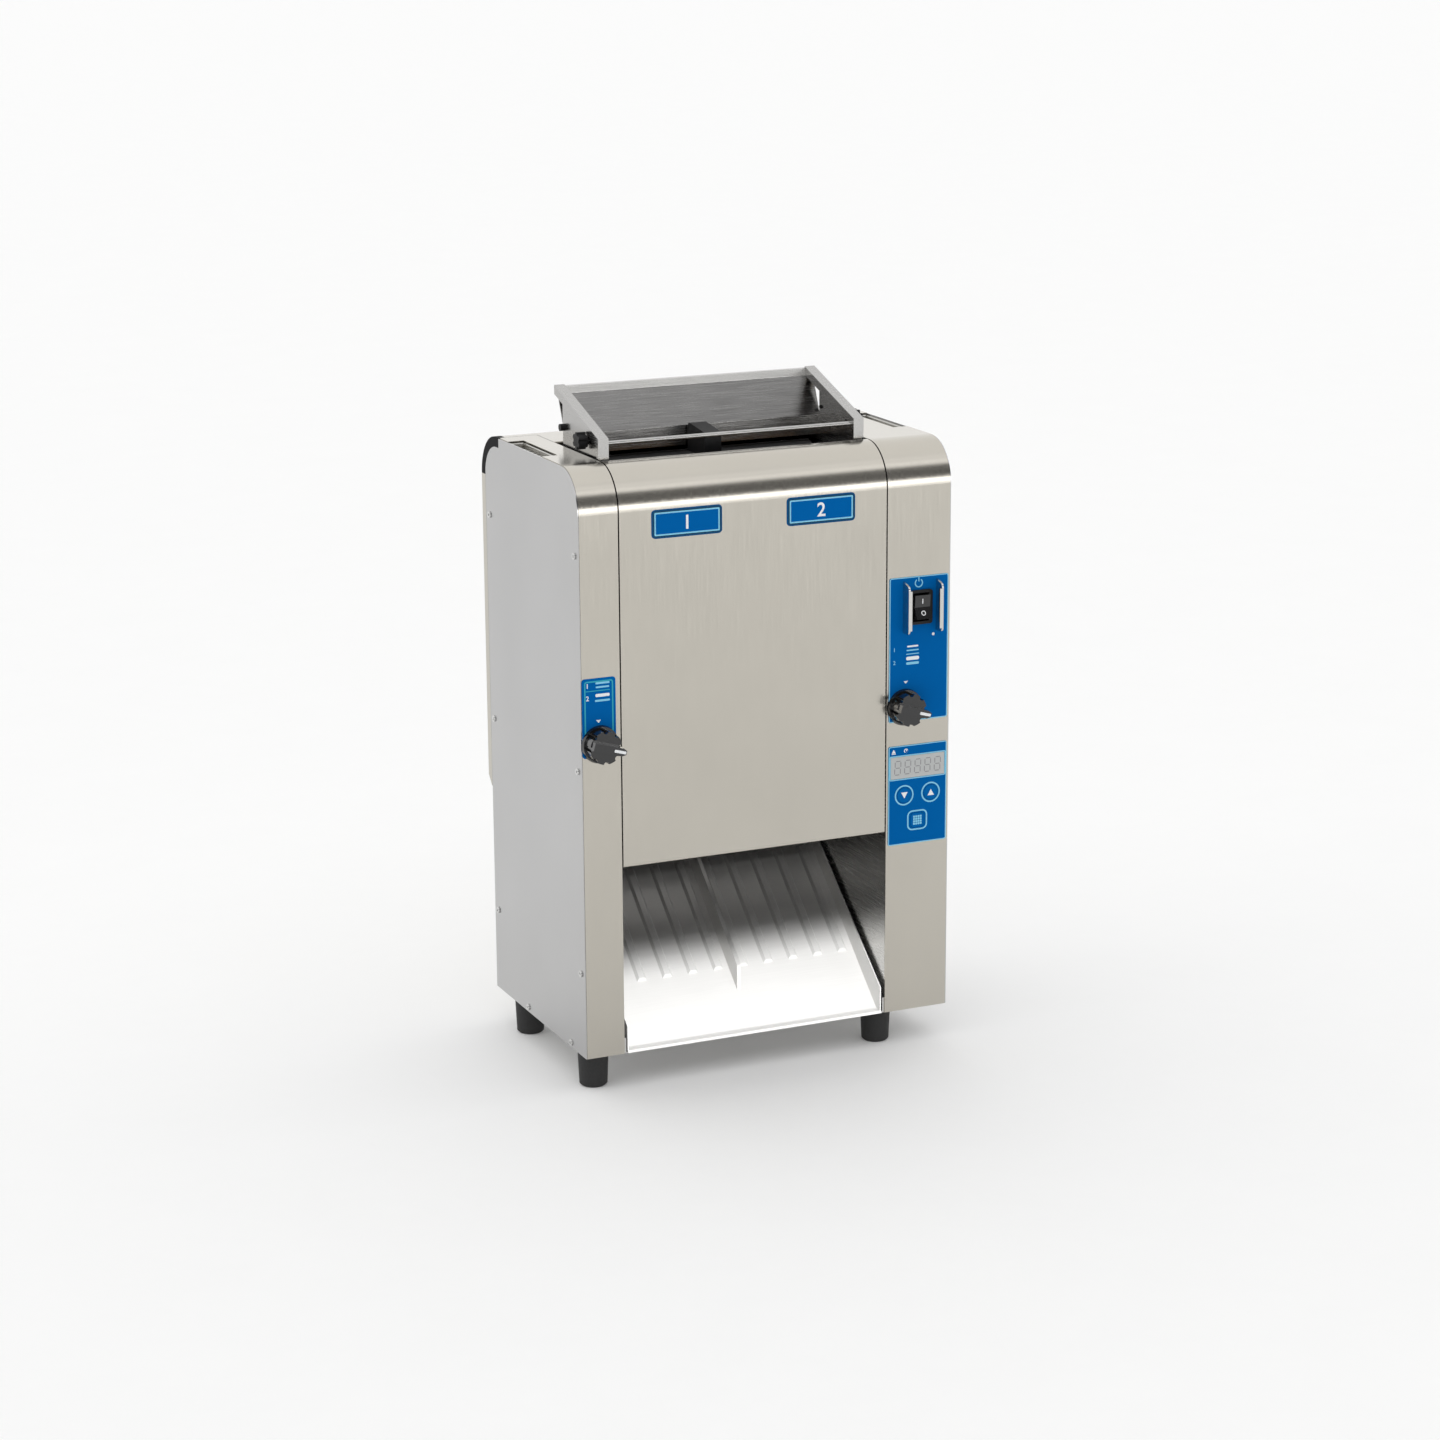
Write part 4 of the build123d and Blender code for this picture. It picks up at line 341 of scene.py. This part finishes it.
def chute_finish():
    """Brushed steel above, blasted to a pale matt at the lip."""
    material = finish("chute_steel", (0.72, 0.715, 0.7), metallic=1, roughness=0.34, grain=700,
                      stretch=brush_across, shade=0.04, relief=0.03)
    tree = material.node_tree
    place = tree.nodes.new("ShaderNodeTexCoord")
    height = tree.nodes.new("ShaderNodeSeparateXYZ")
    tree.links.new(place.outputs["Object"], height.inputs[0])
    fade = new_node(tree, "ShaderNodeMapRange", From_Min=lip_fade_z[0], From_Max=lip_fade_z[1],
                    To_Min=lip_fade_metallic[0], To_Max=lip_fade_metallic[1])
    fade.interpolation_type = "SMOOTHSTEP"
    tree.links.new(height.outputs["Z"], fade.inputs["Value"])
    tree.links.new(fade.outputs["Result"], tree.nodes["Principled BSDF"].inputs["Metallic"])
    return material


def dress_node(name, material):
    """A node of the frame wears one material all over."""
    for slot in frame["nodes"][name].material_slots:
        slot.link = "OBJECT"
        slot.material = material


for name in frame["nodes"]:
    dress_node(name, finishes[slot_of[name]])
for own_finish, names in own_finishes:
    for name in names:
        dress_node(name, own_finish)
dress_node("discharge_chute", chute_finish())


# Outlines: closed lines of (x, y) in millimetres, which the prints, plates and screws are drawn with
def loop(middle, radius, steps=40):
    """A circle."""
    turns = [math.tau * k / steps for k in range(steps)]
    return [(middle[0] + radius * math.cos(turn), middle[1] + radius * math.sin(turn)) for turn in turns]


def slab(middle, size, corner, steps=6):
    """A rectangle with round corners."""
    points = []
    for quarter, (side_x, side_y) in enumerate(((1, 1), (-1, 1), (-1, -1), (1, -1))):
        turn_x = middle[0] + side_x * (size[0] / 2 - corner)
        turn_y = middle[1] + side_y * (size[1] / 2 - corner)
        for k in range(steps + 1):
            turn = math.pi / 2 * (quarter + k / steps)
            points.append((turn_x + corner * math.cos(turn), turn_y + corner * math.sin(turn)))
    return points


def slabs(rows):
    """Several rectangles with round corners, each row a middle, a size and a corner."""
    return [slab(*row) for row in rows]


def band(middle, size, corner, line):
    """A line of even width that runs round a rectangle with round corners: two outlines."""
    outer = (size[0] + line, size[1] + line)
    inner = (size[0] - line, size[1] - line)
    return [slab(middle, outer, corner + line / 2), slab(middle, inner, corner - line / 2)]


def ring(middle, radius, line):
    """A line of even width that runs round a circle: two outlines."""
    return [loop(middle, radius + line / 2), loop(middle, radius - line / 2)]


def arc_band(middle, radius, line, start, end, steps=28):
    """Part of a ring, from one angle to the other, in degrees."""
    points = []
    for edge, order in ((radius + line / 2, range(steps + 1)), (radius - line / 2, range(steps, -1, -1))):
        for k in order:
            turn = math.radians(start + (end - start) * k / steps)
            points.append((middle[0] + edge * math.cos(turn), middle[1] + edge * math.sin(turn)))
    return points


def arrow(middle, width, tall):
    """A triangle with its point up, or down where tall is negative."""
    return [
        (middle[0] - width / 2, middle[1] - tall / 2),
        (middle[0] + width / 2, middle[1] - tall / 2),
        (middle[0], middle[1] + tall / 2),
    ]


# Meshes of the outlines. A digit of the typeface is digit_share of its nominal size, and digit_bold_share of
# its height thickens it. Prints reach into what carries them by sink and stand ink_rise proud, in millimetres.
digit_share = 0.7
digit_bold_share = 0.02
sink = 0.05
ink_rise = 0.12
weld_distance = 1e-7


def lifted_mesh(curve, rise):
    """The mesh of a curve, moved up to lie on z = 0."""
    holder = bpy.data.objects.new("holder", curve)
    scene.collection.objects.link(holder)
    shape = bpy.data.meshes.new_from_object(holder.evaluated_get(bpy.context.evaluated_depsgraph_get()))
    bpy.data.objects.remove(holder)
    bpy.data.curves.remove(curve)
    shape.transform(Matrix.Translation((0, 0, rise / 2 * mm)))
    return shape


def drawn(outlines, rise, edge=0.0):
    """A flat mesh on z = 0, rise thick and rounded by edge. Outlines inside others are its holes."""
    curve = bpy.data.curves.new("outlines", "CURVE")
    curve.dimensions = "2D"
    curve.fill_mode = "BOTH"
    curve.extrude = (rise / 2 - edge) * mm
    curve.bevel_depth = edge * mm
    curve.offset = -edge * mm
    curve.bevel_resolution = 2
    for outline in outlines:
        spline = curve.splines.new("POLY")
        spline.points.add(len(outline) - 1)
        for point, (x, y) in zip(spline.points, outline):
            point.co = (x * mm, y * mm, 0, 1)
        spline.use_cyclic_u = True
    return lifted_mesh(curve, rise)


def figure(text, middle, tall, rise):
    """A plain number as a flat mesh."""
    curve = bpy.data.curves.new("number", "FONT")
    curve.body = text
    curve.size = tall * mm / digit_share
    curve.align_x = "CENTER"
    curve.extrude = rise / 2 * mm
    curve.offset = tall * digit_bold_share * mm
    mesh = lifted_mesh(curve, rise)
    middle_x = (min(v.co.x for v in mesh.vertices) + max(v.co.x for v in mesh.vertices)) / 2
    middle_y = (min(v.co.y for v in mesh.vertices) + max(v.co.y for v in mesh.vertices)) / 2
    mesh.transform(Matrix.Translation((middle[0] * mm - middle_x, middle[1] * mm - middle_y, 0)))
    return mesh


def front_at(y):
    """Lays a drawing (x, z, height) on the front of the part, at depth y in millimetres."""
    return Matrix(((1, 0, 0, 0), (0, 0, -1, y * mm), (0, 1, 0, 0), (0, 0, 0, 1)))


def center_of(node):
    """Middle of a node's box as (x, z), in millimetres."""
    low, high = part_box(node)
    return ((low[0] + high[0]) / 2 / mm, (low[2] + high[2]) / 2 / mm)


def size_of(node):
    """Size of a node's box as (x, z), in millimetres."""
    low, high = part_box(node)
    return ((high[0] - low[0]) / mm, (high[2] - low[2]) / mm)


def front_of(node):
    """Depth y of a node's front, in millimetres."""
    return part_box(node)[0][1] / mm


def give(new, material, body):
    """A new piece wears one material all over and moves with a body."""
    new.data.materials.append(material)
    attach(new, body)


def piece(name, meshes, place, body, material):
    """One object of some meshes, laid at a place, that moves with a body."""
    shape = bmesh.new()
    for mesh in meshes:
        shape.from_mesh(mesh)
        bpy.data.meshes.remove(mesh)
    bmesh.ops.remove_doubles(shape, verts=shape.verts, dist=weld_distance)
    bmesh.ops.transform(shape, matrix=place, verts=shape.verts)
    whole = bpy.data.meshes.new(name)
    shape.to_mesh(whole)
    shape.free()
    new = bpy.data.objects.new(name, whole)
    scene.collection.objects.link(new)
    give(new, material, body)


def ink(name, outlines, y, material, numbers=(), body="chassis"):
    """A print on a front plane at depth y: outlines and plain numbers, each a text, a middle and a height."""
    meshes = [drawn(outlines, ink_rise + sink)] if outlines else []
    for text, middle, tall in numbers:
        meshes.append(figure(text, middle, tall, ink_rise + sink))
    piece(name, meshes, front_at(y + sink), body, material)


# Films and inks of the labels
film = finishes["label_blue"]
dark_film = finish("film_dark_rim", (0.0, 0.065, 0.17), roughness=0.38, grain=1200, shade=0.04, rub=0.05,
                   relief=0.03, shine=0.14)
white_ink = finish("white_ink", (0.93, 0.95, 0.96), grain=900, shade=0.03, rub=0.05)
pale_ink = finish("pale_blue_ink", (0.26, 0.66, 0.88), grain=900, shade=0.04, rub=0.05, shine=0.2)
teal_ink = finish("teal_ink", (0.03, 0.4, 0.52), grain=900, shade=0.04, rub=0.05, shine=0.2)
ghost_ink = finish("window_segments", (0.29, 0.29, 0.3), roughness=0.3, grain=900, shade=0.04, rub=0.05,
                   shine=0.3)

# Lane badges on the front cover: blue plates with a dark rim, a pale line and a plain number
badge_size = (74.0, 28.2)
badge_z = 566.8
badge_corner = 4.0
badge_thickness = 0.8
badge_edge = 0.2
badge_line_size = (67.6, 21.8)
badge_line_corner = 1.8
badge_line_width = 1.9
badge_rim_width = 2.4
badge_rim_gap = 0.3
badge_rim_corner = 2.4
badge_number_tall = 13.5
badge_places = (("left", -87.2, "1"), ("right", 56.1, "2"))

cover_y = front_of("front_cover")
badge_y = cover_y - badge_thickness
badge_rim_size = tuple(length - badge_rim_width - 2 * badge_rim_gap for length in badge_size)
for side, middle_x, number in badge_places:
    middle = (middle_x, badge_z)
    plate = drawn([slab(middle, badge_size, badge_corner)], badge_thickness, badge_edge)
    piece(f"{side}_badge", [plate], front_at(cover_y), "front_cover", film)
    rim = band(middle, badge_rim_size, badge_rim_corner, badge_rim_width)
    ink(f"{side}_badge_rim", rim, badge_y, dark_film, body="front_cover")
    line = band(middle, badge_line_size, badge_line_corner, badge_line_width)
    ink(f"{side}_badge_line", line, badge_y, pale_ink, body="front_cover")
    numbers = [(number, middle, badge_number_tall)]
    ink(f"{side}_badge_number", [], badge_y, white_ink, numbers, body="front_cover")

# Left label: a framed blue film around the left knob's screw, with two marks of bun thickness. Here and below,
# a bar is its middle, size and corner, and an arrow its middle, width and height.
label_low = (-199.0, 343.0)
label_high = (-163.8, 422.0)
label_corner = 3.0
label_thickness = 0.4
label_hole = 5.0
label_line_inset = 3.2
label_line_corner = 2.0
label_line_width = 1.4
label_divider = ((-182.4, 409.6), (25.0, 0.8), 0.3)
label_pale_bars = (
    ((-177.4, 417.0), (14.6, 1.9), 0.8),
    ((-177.4, 413.0), (14.0, 1.7), 0.8),
    ((-177.6, 399.6), (15.6, 2.0), 0.9),
)
label_white_bar = ((-177.5, 404.8), (14.8, 3.0), 1.2)
label_arrow = ((-182.0, 379.0), 5.0, -3.0)
label_numbers = (("1", (-193.2, 414.9), 4.6), ("2", (-193.2, 402.6), 4.6))

label_middle = ((label_low[0] + label_high[0]) / 2, (label_low[1] + label_high[1]) / 2)
label_size = (label_high[0] - label_low[0], label_high[1] - label_low[1])
label_line_size = (label_size[0] - 2 * label_line_inset, label_size[1] - 2 * label_line_inset)
label_y = cover_y - label_thickness
label_hole_line = loop(center_of("left_adjuster_screw"), label_hole)
label_sheet = drawn([slab(label_middle, label_size, label_corner), label_hole_line], label_thickness)
piece("left_label", [label_sheet], front_at(cover_y), "chassis", film)
label_line = band(label_middle, label_line_size, label_line_corner, label_line_width)
ink("left_label_line", label_line, label_y, teal_ink)
ink("left_label_divider", [slab(*label_divider)], label_y, teal_ink)
ink("left_label_marks", slabs(label_pale_bars), label_y, pale_ink)
ink("left_label_bar", [slab(*label_white_bar), arrow(*label_arrow)], label_y, white_ink, label_numbers)

# Prints of the upper overlay: a pale edge, the power sign, numbers with marks of bun thickness, arrow and dot
edge_line = 1.0
edge_corner = 1.8
power_arc = ((164.2, 483.0), 4.0, 1.2, 125, 415)
power_bar = ((164.2, 486.8), (1.2, 4.6), 0.5)
upper_pale_bars = (
    ((157.9, 415.0), (13.6, 1.3), 0.5),
    ((157.9, 411.2), (14.4, 0.9), 0.4),
    ((157.9, 401.6), (14.2, 2.6), 1.1),
)
upper_numbers = (("1", (137.4, 416.8), 3.8), ("2", (137.4, 403.6), 3.8))
upper_white_bars = (
    ((157.9, 419.0), (12.4, 1.7), 0.8),
    ((157.9, 406.7), (14.4, 3.6), 1.5),
)
upper_arrow = ((150.4, 382.4), 5.0, -2.8)
upper_dot = (180.9, 429.3)
upper_dot_radius = 1.5
upper_dot_steps = 20

overlay_y = front_of("upper_overlay")


def overlay_edge(node):
    """The line that runs inside an overlay's edge."""
    width, tall = size_of(node)
    return band(center_of(node), (width - edge_line, tall - edge_line), edge_corner, edge_line)


ink("upper_overlay_edge", overlay_edge("upper_overlay"), overlay_y, pale_ink)
ink("power_sign", [arc_band(*power_arc), slab(*power_bar)], overlay_y, pale_ink)
ink("upper_overlay_marks", slabs(upper_pale_bars), overlay_y, pale_ink, upper_numbers)
ink("upper_overlay_bars", [
    *slabs(upper_white_bars), arrow(*upper_arrow), loop(upper_dot, upper_dot_radius, upper_dot_steps),
], overlay_y, white_ink)

# Prints of the lower overlay: its pale edge, the window's frame, two small signs and the rings of the keys
window_line = 1.2
window_gap = 0.3
window_corner = 1.0
home_roof = ((137.4, 311.9), 4.6, 3.8)
home_foot = ((137.4, 309.2), (4.6, 0.8), 0.3)
clock_ring = ((151.4, 311.2), 1.9, 0.9)
clock_hand = ((151.9, 311.9), (0.8, 2.2), 0.3)
key_ring_radius = 9.9
key_ring_line = 1.5
select_ring = (21.2, 19.4)
select_ring_corner = 5.0

window_middle = center_of("display_window")
window_size = size_of("display_window")
window_band = tuple(length + window_line + 2 * window_gap for length in window_size)
ink("lower_overlay_edge", overlay_edge("lower_overlay"), overlay_y, pale_ink)
ink("window_frame", band(window_middle, window_band, window_corner, window_line), overlay_y, pale_ink)
ink("small_signs", [
    arrow(*home_roof), slab(*home_foot), *ring(*clock_ring), slab(*clock_hand),
], overlay_y, white_ink)
ink("key_rings", [
    *ring(center_of("down_key"), key_ring_radius, key_ring_line),
    *ring(center_of("up_key"), key_ring_radius, key_ring_line),
    *band(center_of("select_key"), select_ring, select_ring_corner, key_ring_line),
], overlay_y, pale_ink)

# Signs on the keys, which travel with them: two arrows and a grid of four by four cells
key_arrow = (7.4, 6.4)
grid_cell = 2.1
grid_pitch = 2.5
grid_corner = 0.4
grid_corner_steps = 2
grid_steps = (-1.5, -0.5, 0.5, 1.5)

key_y = front_of("up_key")
for key, way in (("down", -1), ("up", 1)):
    sign = arrow(center_of(f"{key}_key"), key_arrow[0], way * key_arrow[1])
    ink(f"{key}_sign", [sign], key_y, white_ink, body=f"{key}_key")
select_x, select_z = center_of("select_key")
grid = [
    slab((select_x + column * grid_pitch, select_z + row * grid_pitch), (grid_cell, grid_cell), grid_corner,
         grid_corner_steps)
    for row in grid_steps for column in grid_steps
]
ink("select_sign", grid, key_y, pale_ink, body="select_key")

# Digits of the display, switched off: seven pale segments each, placed (across, up, level) from the middle
digit_count = 5
digit_side_room = 0.4
digit_slant = 0.6
digit_reach = 1.1
segment_line = 0.9
segment_long = 6.4
level_long = 5.0
upright_long = 5.4
segment_corner = segment_line / 2.2
segment_corner_steps = 2
segment_places = (
    (0, 1, True), (0, 0, True), (0, -1, True),
    (-1, 0.5, False), (1, 0.5, False), (-1, -0.5, False), (1, -0.5, False),
)

digit_pitch = window_size[0] / (digit_count + digit_side_room)
segments = []
for digit in range(digit_count):
    digit_x = window_middle[0] + (digit - (digit_count - 1) / 2) * digit_pitch
    for aside, up, level in segment_places:
        place = (
            digit_x + aside * segment_long / 2 + up * digit_slant,
            window_middle[1] + up * segment_long * digit_reach,
        )
        size = (level_long, segment_line) if level else (segment_line, upright_long)
        segments.append(slab(place, size, segment_corner, segment_corner_steps))
ink("window_segments", segments, front_of("display_window"), ghost_ink)

# White pointer lines on the knobs
pointer_turn = math.radians(-16.0)
pointer_from = 6.0
pointer_to = 18.2
pointer_width = 2.8
pointer_corner = 0.5
pointer_rise = 0.3

for side in ("left", "right"):
    knob_x, knob_z = center_of(f"{side}_adjuster_screw")
    bar_middle = ((pointer_from + pointer_to) / 2, 0)
    bar = slab(bar_middle, (pointer_to - pointer_from, pointer_width), pointer_corner)
    knob_face = front_at(front_of(f"{side}_knob") + sink) @ Matrix.Translation((knob_x * mm, knob_z * mm, 0))
    piece(f"{side}_pointer_line", [drawn([bar], pointer_rise + sink)],
          knob_face @ Matrix.Rotation(pointer_turn, 4, "Z"), f"{side}_knob", white_ink)

# Rocker signs: a bar on the upper face and a ring on the lower one, which slope from the rocker's middle
rocker_pivot_depth = 1.0
rocker_peak = 4.0
rocker_tip = 7.0
rocker_half_height = 12.0
rocker_rest = math.radians(-9.0)
on_bar = ((0, 0), (1.0, 5.0), 0.4)
off_ring = ((0, 0), 2.1, 0.9)

rocker_x, rocker_z = center_of("switch_body")
rocker_y = front_of("switch_body") + rocker_pivot_depth
rocker_place = Matrix.Translation((rocker_x * mm, rocker_y * mm, rocker_z * mm))
rocker_place = rocker_place @ Matrix.Rotation(rocker_rest, 4, "X")
face_lean = math.atan((rocker_tip - rocker_peak) / rocker_half_height)
face_y = (rocker_tip + rocker_peak) / 2
for name, side, outlines in (("on_sign", 1, [slab(*on_bar)]), ("off_sign", -1, ring(*off_ring))):
    face = Matrix.Translation((0, (sink - face_y) * mm, side * rocker_half_height / 2 * mm))
    face = rocker_place @ face @ Matrix.Rotation(side * face_lean, 4, "X") @ front_at(0)
    piece(name, [drawn(outlines, ink_rise + sink)], face, "rocker", white_ink)

# Screws of the housing's sides: flat round heads with a cross recess, each turned more than the one before
head_radius = 3.3
head_steps = 32
head_base = 0.8
head_top = 0.8
head_edge = 0.35
cross_reach = 2.0
cross_half = 0.45
screw_turn = math.radians(23.0)
side_spots = (
    (121.5, 122.0), (121.5, 328.0), (121.5, 541.0), (-107.5, 122.0), (-107.5, 328.0), (-107.5, 541.0),
    (-78.0, 41.0), (40.0, 41.0),
)

cross = [
    (cross_half, cross_half), (cross_half, cross_reach), (-cross_half, cross_reach),
    (-cross_half, cross_half), (-cross_reach, cross_half), (-cross_reach, -cross_half),
    (-cross_half, -cross_half), (-cross_half, -cross_reach), (cross_half, -cross_reach),
    (cross_half, -cross_half), (cross_reach, -cross_half), (cross_reach, cross_half),
]
side_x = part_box("right_side_panel")[1][0] / mm


def screw(name, place):
    """A screw head of two layers, the upper one with the recess, that stands on a plane."""
    rim = loop((0, 0), head_radius, head_steps)
    base = drawn([rim], head_base)
    top = drawn([rim, cross], head_top, head_edge)
    top.transform(Matrix.Translation((0, 0, (head_base - sink) * mm)))
    piece(name, [base, top], place, "chassis", finishes["screw_zinc"])


for side, outward in (("left", -1), ("right", 1)):
    facing = Matrix(((0, 0, outward, 0), (-outward, 0, 0, 0), (0, -1, 0, 0), (0, 0, 0, 1)))
    for number, (y, z) in enumerate(side_spots, 1):
        place = Matrix.Translation((outward * side_x * mm, y * mm, z * mm)) @ facing
        screw(f"{side}_side_screw_{number}", place @ Matrix.Rotation(screw_turn * number, 4, "Z"))

# Walls of the vent recesses, from the slotted plates up to the underside of the top sheet
vent_wall = 0.6
vent_inner_x = 182.6
vent_corner = 1.0
vent_inside_corner = 0.4
top_sheet = 1.25

vent_low, vent_high = ([length / mm for length in corner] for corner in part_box("vent_plates"))
vent_middle_x = (vent_inner_x + vent_high[0]) / 2
vent_middle_y = (vent_low[1] + vent_high[1]) / 2
vent_size = (vent_high[0] - vent_inner_x, vent_high[1] - vent_low[1])
vent_inside = (vent_size[0] - 2 * vent_wall, vent_size[1] - 2 * vent_wall)
body_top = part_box("left_side_panel")[1][2] / mm
vent_wall_height = body_top - top_sheet - vent_high[2] + sink
vent_wall_place = Matrix.Translation((0, 0, (vent_high[2] - sink) * mm))
for side, sign in (("left", -1), ("right", 1)):
    middle = (sign * vent_middle_x, vent_middle_y)
    outlines = [slab(middle, vent_size, vent_corner), slab(middle, vent_inside, vent_inside_corner)]
    piece(f"{side}_vent_wall", [drawn(outlines, vent_wall_height)], vent_wall_place, "chassis",
          finishes["dark_steel"])

# Release sheet: cloth that hangs over the top of the platen, its sizes in metres
cloth_gap = 0.00012
cloth_thickness = 0.00022
cloth_taper = 0.026
cloth_top_half = 0.005
cloth_lower_lift = 0.001
cloth_side_inset = 0.0005
cloth_row = 0.012
cloth_least_rows = 2
cloth_columns = 24


def build_release_sheet():
    """The cloth as a thin closed band that follows the platen's outline."""
    solid_low, solid_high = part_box("release_sheet")
    platen_low, platen_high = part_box("platen")
    left, right = solid_low[0] + cloth_side_inset, solid_high[0] - cloth_side_inset
    middle_y = (solid_low[1] + solid_high[1]) / 2
    side = (platen_high[1] - platen_low[1]) / 2 + cloth_gap
    top_half = cloth_top_half + cloth_gap
    top_z = platen_high[2] + cloth_gap
    low_z = solid_low[2] + cloth_lower_lift
    line = [
        (middle_y - side, low_z),
        (middle_y - side, top_z - cloth_taper),
        (middle_y - top_half, top_z),
        (middle_y + top_half, top_z),
        (middle_y + side, top_z - cloth_taper),
        (middle_y + side, low_z),
    ]

    rows = []
    for (y0, z0), (y1, z1) in zip(line, line[1:]):
        run = math.hypot(y1 - y0, z1 - z0)
        steps = max(cloth_least_rows, round(run / cloth_row))
        rows += [(y0 + (y1 - y0) * k / steps, z0 + (z1 - z0) * k / steps) for k in range(steps)]
    rows.append(line[-1])

    shape = bmesh.new()
    grid_points = [
        [shape.verts.new((left + (right - left) * c / cloth_columns, y, z)) for c in range(cloth_columns + 1)]
        for y, z in rows
    ]
    for row, next_row in zip(grid_points, grid_points[1:]):
        for c in range(cloth_columns):
            shape.faces.new((row[c], row[c + 1], next_row[c + 1], next_row[c]))
    bmesh.ops.recalc_face_normals(shape, faces=shape.faces)
    top_face = max(shape.faces, key=lambda face: face.calc_center_median().z)
    if top_face.normal.z < 0:
        bmesh.ops.reverse_faces(shape, faces=shape.faces)
    bmesh.ops.solidify(shape, geom=shape.faces, thickness=-cloth_thickness)
    mesh = bpy.data.meshes.new("release_cloth")
    shape.to_mesh(mesh)
    shape.free()

    cloth = bpy.data.objects.new("release_cloth", mesh)
    scene.collection.objects.link(cloth)
    give(cloth, finishes["release_fabric"], "chassis")
    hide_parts("release_sheet")


build_release_sheet()

# Floor: a pale disc under everything
floor_radius = 90.0
floor_color = (0.86, 0.86, 0.855)
floor_glow = 0.1
floor_segments = 96


def build_floor():
    """The floor, which isn't part of the toaster."""
    shape = bmesh.new()
    bmesh.ops.create_circle(shape, cap_ends=True, segments=floor_segments, radius=floor_radius)
    mesh = bpy.data.meshes.new("floor")
    shape.to_mesh(mesh)
    shape.free()
    floor = bpy.data.objects.new("floor", mesh)
    scene.collection.objects.link(floor)
    mesh.materials.append(finish("floor_paper", floor_color, roughness=0.8, grain=40, shade=0.01, rub=0.04,
                                 relief=0.0, glow=floor_glow))


build_floor()
